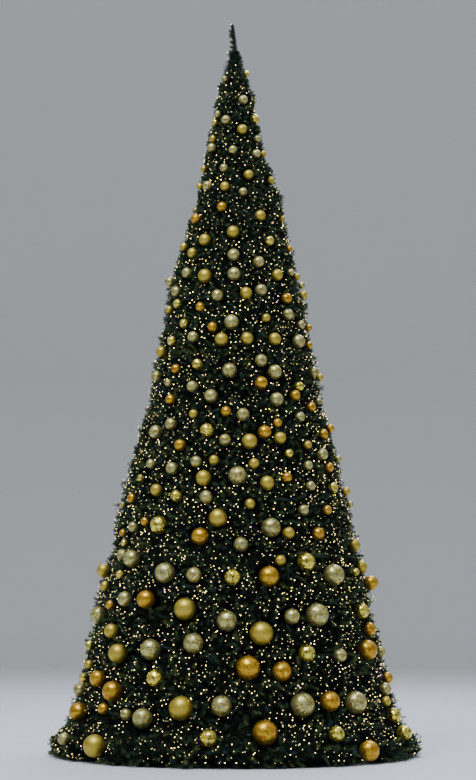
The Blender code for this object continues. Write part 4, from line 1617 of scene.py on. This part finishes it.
@dataclass
class LightStrings:
    """Warm white lamps on a dark green wire that runs down the shoot and winds down the crown.

    The lead-in is the wire's own points on the shoot, with a lamp where it is lit.
    """

    crown: Crown
    seed: int = 9
    top: float = 9.30
    foot: float = 0.12
    pitch: float = 0.080
    spacing: float = 0.049
    lamp_gap: float = 0.039
    lamp_gap_at_top: float = 0.050
    waver: float = 0.080
    waver_step: float = 0.40
    fine_waver_share: float = 0.4
    fine_waver_step: float = 0.13
    depth: float = 0.060
    depth_spread: float = 0.032
    depth_step: float = 0.17
    scatter: float = 0.080
    depth_scatter: float = 0.012
    most_scatter: float = 2.0
    lowest_share: float = 0.6
    least_radius: float = 0.012
    helix_steps: int = 60000
    patch_width: float = 0.85
    patch_from: float = -1.7
    clearance: float = 0.020
    wire_radius: float = 0.0016
    lamp_play: float = 0.45
    socket_profile: Profile = ((0.0046, -0.004), (0.0064, 0.015))
    socket_sides: int = 4
    lens_profile: Profile = ((0.0062, 0.0140), (0.0, 0.0220))
    lens_sides: int = 5
    brightness_shares: tuple[float, ...] = (0.25, 0.37, 0.38)
    lead_in: tuple[Triple, ...] = (
        (-0.046, -0.024, 9.992), (-0.052, -0.024, 9.87), (-0.032, -0.030, 9.74), (-0.088, -0.034, 9.575),
        (-0.060, -0.100, 9.46), (0.000, -0.150, 9.345),
    )
    lead_in_lit: tuple[bool, ...] = (True, False, False, True, False, True)

    def smooth_noise(self, length: Array, step: float, dice: Dice) -> Array:
        """Random values a step apart along the wire, joined by smooth curves.

        Args:
            length: Length along the wire of each point.
            step: Length between two random values.
            dice: Random numbers.

        Returns:
            A value from -1 to 1 at each point.
        """
        count = int(length[-1] / step) + 3
        values = dice.uniform(-1, 1, count)
        where = length / step
        low = where.astype(int)
        share = where - low
        share = share * share * (3 - 2 * share)
        return values[low] * (1 - share) + values[low + 1] * share

    def route(self) -> Array:
        """Points of the wire, one a lamp.

        The wire is a helix on the crown, evenly lowered with each turn. Its points start an even
        length apart. Smooth noises move them up, down, in and out, and each lamp's own share
        moves it along, up and in.

        Returns:
            The points, from the top down.
        """
        dice = np.random.default_rng(self.seed)
        turns = np.linspace(0, (self.top - self.foot) / self.pitch, self.helix_steps)
        z = self.top - self.pitch * turns
        radius = self.crown.radius(z)
        arcs = (radius[1:] + radius[:-1]) / 2 * np.diff(turns) * TURN
        length = np.concatenate([[0], np.cumsum(arcs)])
        along = np.arange(0, length[-1], self.spacing)
        turn = np.interp(along, length, turns)
        z = self.top - self.pitch * turn
        z = z + self.waver * self.smooth_noise(along, self.waver_step, dice)
        z = z + self.fine_waver_share * self.waver * self.smooth_noise(along, self.fine_waver_step, dice)
        own = dice.normal(0, 1, (3, len(along))).clip(-self.most_scatter, self.most_scatter)
        aside, rise, deeper = own * self.crown.size(z)
        z = np.clip(z + self.scatter * rise, self.foot * self.lowest_share, self.top)
        depth = self.depth + self.depth_spread * self.smooth_noise(along, self.depth_step, dice)
        radius = self.crown.radius(z) - depth * self.crown.size(z) - self.depth_scatter * deeper
        angle = TURN * turn + self.scatter * aside / np.maximum(radius, self.scatter)
        radius = radius + self.crown.lumps(at(angle, radius, z))
        return at(angle, np.maximum(radius, self.least_radius), z)

    def apart(self, points: Array) -> Truth:
        """Which points hold a lamp: each one that no earlier lamp is nearer to than the gap.

        The gap widens towards the top, with the square of the height.

        Args:
            points: Points of the wire, from the top down.

        Returns:
            True where there is a lamp.
        """
        gaps = blend(self.lamp_gap, self.lamp_gap_at_top, (points[:, 2] / self.crown.height) ** 2)
        tree = KDTree(len(points))
        for index, point in enumerate(points):
            tree.insert(point, index)
        tree.balance()
        held = np.ones(len(points), bool)
        for index, point in enumerate(points):
            if held[index]:
                near = [other for _, other, _ in tree.find_range(point, gaps[index])]
                held[[other for other in near if other > index]] = False
        return held

    def make(self, hung: Hung, lit: list[Material], plastic: Material) -> None:
        """Makes the wire, the sockets and the lamps.

        Args:
            hung: The baubles, which the wire passes behind.
            lit: The lit lamps' finishes, from the brightest.
            plastic: The wire's and the sockets' finish.
        """
        dice = np.random.default_rng(self.seed + 1)
        points = np.vstack([self.lead_in, self.route()])
        shown = self.apart(points) & ~hung.near(points, self.clearance)
        shown &= self.crown.waves(points, self.seed, self.patch_width) > self.patch_from
        shown[: len(self.lead_in_lit)] = self.lead_in_lit
        passing = hung.behind(points, self.clearance)
        wire = tubes(passing[None], np.full((1, len(points)), self.wire_radius), 3, UP)
        Piece("light_wire", [plastic], "light_wire", [wire]).make()
        places = points[shown]
        axes = unit(unit(places * LEVEL) + dice.normal(0, self.lamp_play, (len(places), 3)))
        frames = frames_along(axes, dice.uniform(0, TURN, len(places)))
        socket = turned(self.socket_profile, self.socket_sides)
        lens = turned(self.lens_profile, self.lens_sides)
        Piece("lamp_sockets", [plastic], "light_wire", [socket.copies(places, frames)]).make()
        lamps = Piece("lamps", lit, "light_bulbs", smooth=False)
        kinds = dice.choice(len(lit), size=len(places), p=self.brightness_shares)
        kinds[: sum(self.lead_in_lit)] = 0
        copies = lens.copies(places, frames)
        triangles = np.repeat(kinds, len(lens.triangles))
        lamps.add(copies, np.concatenate([triangles, np.repeat(kinds, len(lens.quads))]))
        lamps.make()
        log.info("lamps: %d", len(places))


# Mast, boughs and stand


@dataclass
class Steelwork:
    """The mast in flanged lengths, the boughs with their collars, and the stand's fittings.

    A bough's bend is a share of its length and its rise there.
    """

    crown: Crown
    joints: tuple[float, ...] = (0.62, 2.4, 4.3, 6.1, 7.7)
    mast_round: int = 24
    mast_skin: float = 0.0004
    mast_edge: float = 0.001
    flange_wide: float = 0.014
    flange_high: float = 0.034
    flange_edge: float = 0.002
    groove_half: float = 0.001
    groove_deep: float = 0.003
    bolts: int = 6
    hexagon: int = 6
    bolt_profile: Profile = ((0.0062, -0.002), (0.0062, 0.0045), (0.0, 0.0052))
    head_profile: Profile = ((0.014, -0.001), (0.014, 0.009), (0.011, 0.011), (0.0, 0.0115))
    screw_profile: Profile = (
        (0.019, -0.001), (0.019, 0.013), (0.0095, 0.0135), (0.0095, 0.052), (0.0, 0.054),
    )
    bough_rise: float = 0.10
    bough_bends: Profile = ((0.0, 0.0), (0.3, 0.0), (0.45, 0.012), (0.7, 0.048), (1.0, 0.100))
    bough_root: float = 0.042
    bough_tip: float = 0.026
    bough_sides: int = 14
    collar_long: float = 0.03
    collar_wide: float = 0.009
    ferrule_share: float = 0.14
    ferrule_wide: float = 0.004
    stub: float = 0.05
    clear: float = 0.0003
    mast_sides: int = 12
    arm_count: int = 6
    plate_top: float = 0.020
    plate_bolts_at: float = 0.235
    socket_radius: float = 0.149
    socket_bolts_at: float = 0.385
    arm_top: float = 0.12
    pad_at: float = 0.90

    def mast(self, steel: Material, bright: Material) -> None:
        """Makes the mast, with a pair of flanges and a ring of bolts at each joint.

        Args:
            steel: The painted steel's finish.
            bright: The bolts' finish.
        """
        profile = [(float(self.crown.mast(0.0)), self.plate_top + self.clear)]
        places = []
        for joint in self.joints:
            radius = float(self.crown.mast(joint))
            low, high = joint - self.flange_high / 2, joint + self.flange_high / 2
            rim = radius + self.flange_wide
            profile += [
                (radius + self.mast_skin, low), (rim, low + self.flange_edge),
                (rim, joint - self.groove_half), (rim - self.groove_deep, joint),
                (rim, joint + self.groove_half), (rim, high - self.flange_edge),
                (radius, high),
            ]
            turn = TURN * (np.arange(self.bolts) + 0.5) / self.bolts
            places.append(at(turn, radius + self.flange_wide / 2, high))
        top = self.crown.leader_foot
        profile += [(float(self.crown.mast(top)), top - self.mast_edge), (0.0, top)]
        tube = turned(profile, self.mast_round)
        Piece("painted_mast", [steel], "painted_mast", [tube], ("mast",)).make()
        bolt, where = turned(self.bolt_profile, self.hexagon), np.concatenate(places)
        bolts = bolt.copies(where, frames_along(np.tile(UP, (len(where), 1))))
        Piece("mast_bolts", [bright], "painted_mast", [bolts], smooth=False).make()

    def bough_path(self, azimuth: float, z: float) -> Array:
        """The path of the bough that carries a mass.

        Args:
            azimuth: The mass's middle.
            z: Height of the bough's tip.

        Returns:
            Points from the mast to the tip.
        """
        foot = z - self.bough_rise
        start = float(self.crown.mast(foot)) * math.cos(math.pi / self.mast_sides)
        tip = float(self.crown.hollow(z)) - self.stub
        shares, rises = np.array(self.bough_bends).T
        return at(azimuth, blend(start, tip, shares), foot + rises)

    def boughs(self, steel: Material) -> None:
        """Makes every bough: a tapering tube with a collar at the mast and a ferrule at its tip.

        Args:
            steel: The painted steel's finish.
        """
        nodes, paths, collars, ferrules = [], [], [], []
        for tier in range(self.crown.tiers_on_boughs):
            for mass in self.crown.masses(tier):
                path = self.bough_path(mass.middle, (mass.low + mass.high) / 2)
                paths.append(path)
                collars.append([path[0], path[0] + unit(path[1] - path[0]) * self.collar_long])
                ferrules.append([blend(path[-1], path[-2], self.ferrule_share), path[-1]])
                nodes.append(f"bough_{mass.tier + 1}_{mass.index + 1}")
        shares = np.array(self.bough_bends)[:, 0]
        rows = (
            (paths, blend(self.bough_root, self.bough_tip, shares)),
            (collars, np.full(2, self.bough_root + self.collar_wide)),
            (ferrules, np.full(2, self.bough_tip + self.ferrule_wide)),
        )
        shapes = [
            tubes(np.array(limbs), np.tile(radii, (len(limbs), 1)), self.bough_sides)
            for limbs, radii in rows
        ]
        Piece("painted_boughs", [steel], "painted_bough", shapes, tuple(nodes)).make()

    def stand(self, steel: Material, bright: Material) -> None:
        """Paints the stand, and adds bolts on its plate and socket and screws in its feet.

        Args:
            steel: The painted steel's finish.
            bright: The bolts' and screws' finish.
        """
        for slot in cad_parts["stand"].material_slots:
            slot.material = steel
        head, screw = turned(self.head_profile, self.hexagon), turned(self.screw_profile, self.hexagon)
        turn = TURN * np.arange(self.arm_count) / self.arm_count
        half = math.pi / self.arm_count
        outward = at(turn, 1.0, 0.0)
        rows = (
            (head, at(turn, self.plate_bolts_at, self.plate_top), np.tile(UP, (self.arm_count, 1))),
            (head, at(turn, self.socket_radius, self.socket_bolts_at), outward),
            (screw, at(turn + half, self.pad_at, self.arm_top), np.tile(UP, (self.arm_count, 1))),
        )
        shapes = [shape.copies(places, frames_along(axes)) for shape, places, axes in rows]
        Piece("stand_fittings", [bright], "painted_stand", shapes, smooth=False).make()


# Stems inside the crown


@dataclass
class Stems:
    """The wire stems of the masses, the branches that spread from them and the twigs."""

    crown: Crown
    foliage: Foliage
    stem_end: float = 0.22
    stem_sunk: float = 0.05
    stem_radii: Pair = (0.026, 0.018)
    slim_from: float = 0.1
    stem_sides: int = 8
    root_gap: float = 0.04
    branch_bend: Pair = (0.5, 0.62)
    branch_radii: Triple = (0.011, 0.008, 0.005)
    branch_sides: int = 4

    def branches(self, grown: list[tuple[Mass, Twigs]]) -> Shape:
        """Branches from each mass's stem out to every fan of twigs.

        Args:
            grown: Every mass with its twigs.

        Returns:
            The branches.
        """
        starts, ends = [], []
        for mass, twigs in grown:
            z = (mass.low + mass.high) / 2
            root = at(mass.middle, float(self.crown.hollow(z)) + self.root_gap, z)
            heads = np.unique(np.round(twigs.starts, 6), axis=0)
            starts.append(np.tile(root, (len(heads), 1)))
            ends.append(heads)
        start, end = np.concatenate(starts), np.concatenate(ends)
        size = np.asarray(self.crown.size(end[:, 2]))
        out, rise = self.branch_bend
        inner = blend(start, end, out)
        inner[:, 2] = blend(start[:, 2], end[:, 2], rise)
        paths = np.stack([start, inner, end], axis=1)
        radii = size[:, None] * np.array(self.branch_radii)
        return tubes(paths, radii, self.branch_sides)

    def limbs(self) -> Shape:
        """The stem of each mass, from its bough or the mast into the foliage.

        Returns:
            The stems.
        """
        paths, radii = [], []
        for tier in range(len(self.crown.masses_in_tier)):
            for mass in self.crown.masses(tier):
                z = (mass.low + mass.high) / 2
                inner = float(self.crown.hollow(z))
                on_bough = tier < self.crown.tiers_on_boughs
                start = inner - self.stem_sunk if on_bough else float(self.crown.mast(z))
                reach = inner + self.stem_end * min(1.0, float(self.crown.core(z)))
                paths.append([at(mass.middle, start, z), at(mass.middle, reach, z)])
                slim = min(1.0, start / self.slim_from)
                radii.append([radius * slim for radius in self.stem_radii])
        return tubes(np.array(paths).reshape(-1, 2, 3), np.array(radii), self.stem_sides)

    def make(self, grown: list[tuple[Mass, Twigs]], bark: Material) -> None:
        """Makes the wood of the twigs, then that of the branches and stems.

        Args:
            grown: Every mass with its twigs.
            bark: The wires' finish.
        """
        wood = [self.foliage.wood(twigs) for _, twigs in grown]
        Piece("twig_wires", [bark], "needles", wood).make()
        Piece("branch_wires", [bark], "needles", [self.branches(grown), self.limbs()]).make()


@dataclass
class Leader:
    """The slim shoot at the top, which leans to one side, in a wrap of tiny twigs with needles.

    A tuft is its height and its reach from the shoot.
    """

    crown: Crown
    foliage: Foliage
    lean: float = -0.045
    bow: float = 0.4
    upright_to: float = 0.2
    foot_radius: float = 0.028
    tip_radius: float = 0.012
    taper_power: float = 0.7
    steps: int = 14
    sides: int = 8
    twigs: int = 430
    twigs_from: float = 9.14
    bare_from: float = 9.56
    twig_size: float = 0.40
    twig_turn_play: float = 0.3
    twig_rise: float = 0.07
    twig_play: Pair = (0.70, 1.12)
    twig_sag: float = 0.01
    needles_on_twig: int = 30
    needle_length: float = 0.054
    tufts: tuple[Pair, ...] = (
        (9.30, 0.180), (9.34, 0.185), (9.385, 0.170), (9.43, 0.145), (9.54, 0.125), (9.56, 0.115),
        (9.58, 0.095), (9.65, 0.072), (9.72, 0.068), (9.80, 0.070), (9.83, 0.066), (9.88, 0.060),
    )
    tuft_twigs: int = 34
    tuft_play: float = 0.010
    tuft_turn_play: float = 0.6
    wrap_twigs: int = 300
    wrap_reach: Pair = (0.038, 0.022)
    wrap_below_tip: float = 0.03
    tiny_play: Pair = (0.6, 1.0)
    tiny_rise: float = 0.022
    tiny_size: float = 0.30
    tiny_needles: int = 14
    tiny_needle_length: float = 0.036
    seed: int = 5

    def path(self, z: Array) -> Array:
        """Points of the shoot: a line to its tip, bowed to the far side in between.

        Args:
            z: Heights, none below the shoot's foot.

        Returns:
            A point for each.
        """
        share = (z - self.crown.leader_foot) / (self.crown.height - self.crown.leader_foot)
        x = self.lean * (share - self.bow * np.sin(math.pi * share))
        return np.stack([np.where(share > self.upright_to, x, 0.0), 0 * z, z], axis=-1)

    def grow(self) -> Twigs:
        """Short twigs up the shoot, which close in towards its top.

        Returns:
            The twigs.
        """
        dice = np.random.default_rng(self.seed)
        share = np.arange(self.twigs) / self.twigs
        z = blend(self.twigs_from, self.bare_from, share)
        starts = self.path(np.maximum(z, self.crown.leader_foot))
        turn = dice.uniform(-self.twig_turn_play, self.twig_turn_play, self.twigs)
        turn = np.arange(self.twigs) * GOLDEN_ANGLE + turn
        tip_z = z + dice.uniform(0.0, self.twig_rise, self.twigs)
        reach = self.crown.spire(tip_z) * dice.uniform(*self.twig_play, self.twigs)
        ends = starts + at(turn, reach, tip_z - starts[:, 2])
        bends = (starts + ends) / 2 - UP * self.twig_sag
        greens = dice.choice(len(NEEDLE_FINISHES), size=self.twigs, p=NEEDLE_SHARES)
        return Twigs(starts, bends, ends, np.full(self.twigs, self.twig_size), greens)

    def tiny_twigs(self) -> Twigs:
        """Tiny twigs that wrap the shoot, and tufts of them on the side that it leans to.

        Returns:
            The tiny twigs.
        """
        dice = np.random.default_rng(self.seed + 2)
        wrap_z = np.linspace(self.bare_from, self.crown.height - self.wrap_below_tip, self.wrap_twigs)
        tuft_z, tuft_reach = np.repeat(self.tufts, self.tuft_twigs, axis=0).T
        tuft_z = tuft_z + dice.normal(0, self.tuft_play, len(tuft_z))
        z = np.concatenate([wrap_z, tuft_z])
        wrap_turn = np.arange(self.wrap_twigs) * GOLDEN_ANGLE
        turn = np.concatenate([wrap_turn, math.pi + dice.normal(0, self.tuft_turn_play, len(tuft_z))])
        reach = np.concatenate([np.linspace(*self.wrap_reach, self.wrap_twigs), tuft_reach])
        starts = self.path(z)
        ends = starts + at(turn, reach * dice.uniform(*self.tiny_play, len(z)), self.tiny_rise)
        sizes, greens = np.full(len(z), self.tiny_size), np.ones(len(z), int)
        return Twigs(starts, (starts + ends) / 2, ends, sizes, greens)

    def make(self, greens: list[Material], bark: Material) -> None:
        """Makes the shoot's wood and its needles.

        Args:
            greens: The needles' finishes.
            bark: The wires' finish.
        """
        dice = np.random.default_rng(self.seed + 1)
        z = np.linspace(self.crown.leader_foot, self.crown.height, self.steps)
        radii = blend(self.foot_radius, self.tip_radius, np.linspace(0, 1, self.steps) ** self.taper_power)
        shoot, twigs = tubes(self.path(z)[None], radii[None], self.sides), self.grow()
        wood = [shoot, self.foliage.wood(twigs)]
        Piece("leader_shoot", [bark], "needles", wood, ("leader",)).make()
        piece = Piece("needles_leader", greens, "needles", smooth=False)
        rows = (
            (twigs, self.needle_length, self.needles_on_twig),
            (self.tiny_twigs(), self.tiny_needle_length, self.tiny_needles),
        )
        for group, length, count in rows:
            piece.add(self.foliage.needles(group, dice, length, count), self.foliage.greens(group, count))
        piece.make()


# The studio


@dataclass
class Studio:
    """A pale floor in a round room with an open top, soft lights and the photograph's camera."""

    camera: PhotoCamera
    floor_colour: Colour = (0.60, 0.60, 0.59)
    floor_roughness: float = 0.9
    sides: int = 96
    middle: float = 0.5
    flat: float = 56.0
    bend: float = 16.0
    bend_steps: int = 16
    wall_height: float = 62.0
    world_colour: Colour = (0.88, 0.93, 1.0)
    world_strength: float = 0.95
    panel_size: float = 15.0
    panel_tint: Colour = (0.74, 0.83, 1.0)
    aimed_at: float = 4.5

    def floor(self) -> None:
        """Makes the floor: a flat round, which curves up all round into a wall, open at the top."""
        angle = np.linspace(0, math.pi / 2, self.bend_steps)
        bend = zip(self.flat + self.bend * np.sin(angle), self.bend * (1 - np.cos(angle)))
        rim = (self.flat + self.bend, self.wall_height)
        shape = turned([(self.middle, 0.0), *((float(r), float(z)) for r, z in bend), rim], self.sides)
        middle = shape.triangles[: self.sides]
        faces = [*middle.tolist(), *shape.quads.tolist()]
        mesh = bpy.data.meshes.new("floor")
        mesh.from_pydata(shape.points.tolist(), [], faces)
        material, shader, _ = plain_material("studio_floor")
        fill(shader, Base_Color=opaque(self.floor_colour), Roughness=self.floor_roughness)
        mesh.materials.append(material)
        mesh.shade_smooth()
        new_object("floor", mesh)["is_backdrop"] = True

    def panel(self, name: str, place: Triple, watts: float) -> None:
        """Makes a square soft light that faces the middle of the tree.

        Args:
            name: The light's name.
            place: Where its middle is.
            watts: Its power.
        """
        data = bpy.data.lights.new(name, "AREA")
        data.size = self.panel_size
        data.energy = watts
        data.color = self.panel_tint
        light = new_object(name, data)
        light.location = place
        aim = UP * self.aimed_at - np.array(place)
        light.rotation_euler = Matrix(frames_along(-aim[None])[0].tolist()).to_euler()

    def make(self) -> None:
        """Makes the floor, the lights, the world and the camera."""
        self.floor()
        self.panel("key", place=(-5.0, -14.0, 26.0), watts=8800.0)
        self.panel("back", place=(5.0, 14.0, 26.0), watts=6000.0)
        world = bpy.data.worlds.new("studio")
        world.use_nodes = True
        background = world.node_tree.nodes["Background"]
        fill(background, Color=opaque(self.world_colour), Strength=self.world_strength)
        bpy.context.scene.world = world
        self.camera.make()


FINISH_CAPS = PaintFinish(
    "bauble_caps", colour=(0.22, 0.19, 0.08), dust=(0.14, 0.13, 0.07), dust_amount=0.6, metallic=0.9
)
FINISH_MAST = PaintFinish(
    "mast_paint", colour=(0.030, 0.060, 0.038), dust=(0.16, 0.15, 0.12), dust_amount=0.5
)
FINISH_BOUGH = PaintFinish(
    "bough_paint", colour=(0.026, 0.052, 0.032), dust=(0.14, 0.13, 0.10), dust_amount=0.4
)
FINISH_STAND = PaintFinish(
    "stand_paint", colour=(0.040, 0.075, 0.048), dust=(0.18, 0.16, 0.13), dust_amount=0.7
)
FINISH_BOLTS = PaintFinish(
    "zinc_bolts", colour=(0.55, 0.56, 0.58), dust=(0.30, 0.28, 0.25), dust_amount=0.5, metallic=1.0
)
FINISH_WIRE = PaintFinish(
    "light_wire", colour=(0.004, 0.010, 0.005), dust=(0.010, 0.014, 0.010), dust_amount=0.2, shine=0.08
)
FINISH_BARK = PaintFinish(
    "twig_wire", colour=(0.030, 0.028, 0.018), dust=(0.05, 0.05, 0.03), dust_amount=0.5, shine=0.2
)
FINISH_LAMPS = (
    LampFinish("lamp_bright", colour=(1.0, 0.88, 0.50), glow=(1.0, 0.80, 0.22), strength=14.0),
    LampFinish("lamp_middling", colour=(1.0, 0.89, 0.56), glow=(1.0, 0.83, 0.29), strength=3.1),
    LampFinish("lamp_faint", colour=(1.0, 0.87, 0.50), glow=(1.0, 0.80, 0.25), strength=0.7),
)
# The inner shell's colours are painted shade and painted shadow, standing in for the dark inside of the
# crown.
FINISH_SHADED_THICKET = ShadedThicketFinish(
    "inner_needles_painted_shade", dark=(0.0030, 0.0044, 0.0030), light=(0.0230, 0.0340, 0.0180)
)


def main() -> None:
    """Builds and dresses the tree."""
    logging.basicConfig(level=logging.INFO, format="%(message)s")
    crown, camera = Crown(), PhotoCamera()
    foliage = Foliage(crown)
    swirls, paint = swirl_group(), paint_group()
    bark = FINISH_BARK.make(paint)
    greens = [finish.make() for finish in NEEDLE_FINISHES]

    baubles = Baubles(crown, camera)
    hung = baubles.place()
    log.info("baubles: %d", len(hung.radii))
    baubles.balls(hung, swirls)
    baubles.caps(hung, FINISH_CAPS.make(paint))
    lit = [finish.make() for finish in FINISH_LAMPS]
    LightStrings(crown).make(hung, lit, FINISH_WIRE.make(paint))

    grown = foliage.make(hung, greens)
    Stems(crown, foliage).make(grown, bark)
    Thicket(crown).make(hung, FINISH_SHADED_THICKET.make())
    Leader(crown, foliage).make(greens, bark)

    steelwork = Steelwork(crown)
    bolts = FINISH_BOLTS.make(paint)
    steelwork.mast(FINISH_MAST.make(paint), bolts)
    steelwork.boughs(FINISH_BOUGH.make(paint))
    steelwork.stand(FINISH_STAND.make(paint), bolts)
    Studio(camera).make()

    boxes = {"cad": CAD_BOX, "visual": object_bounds()}
    {key: [list(corner) for corner in box] for key, box in boxes.items()}


if __name__ == "__main__":
    main()
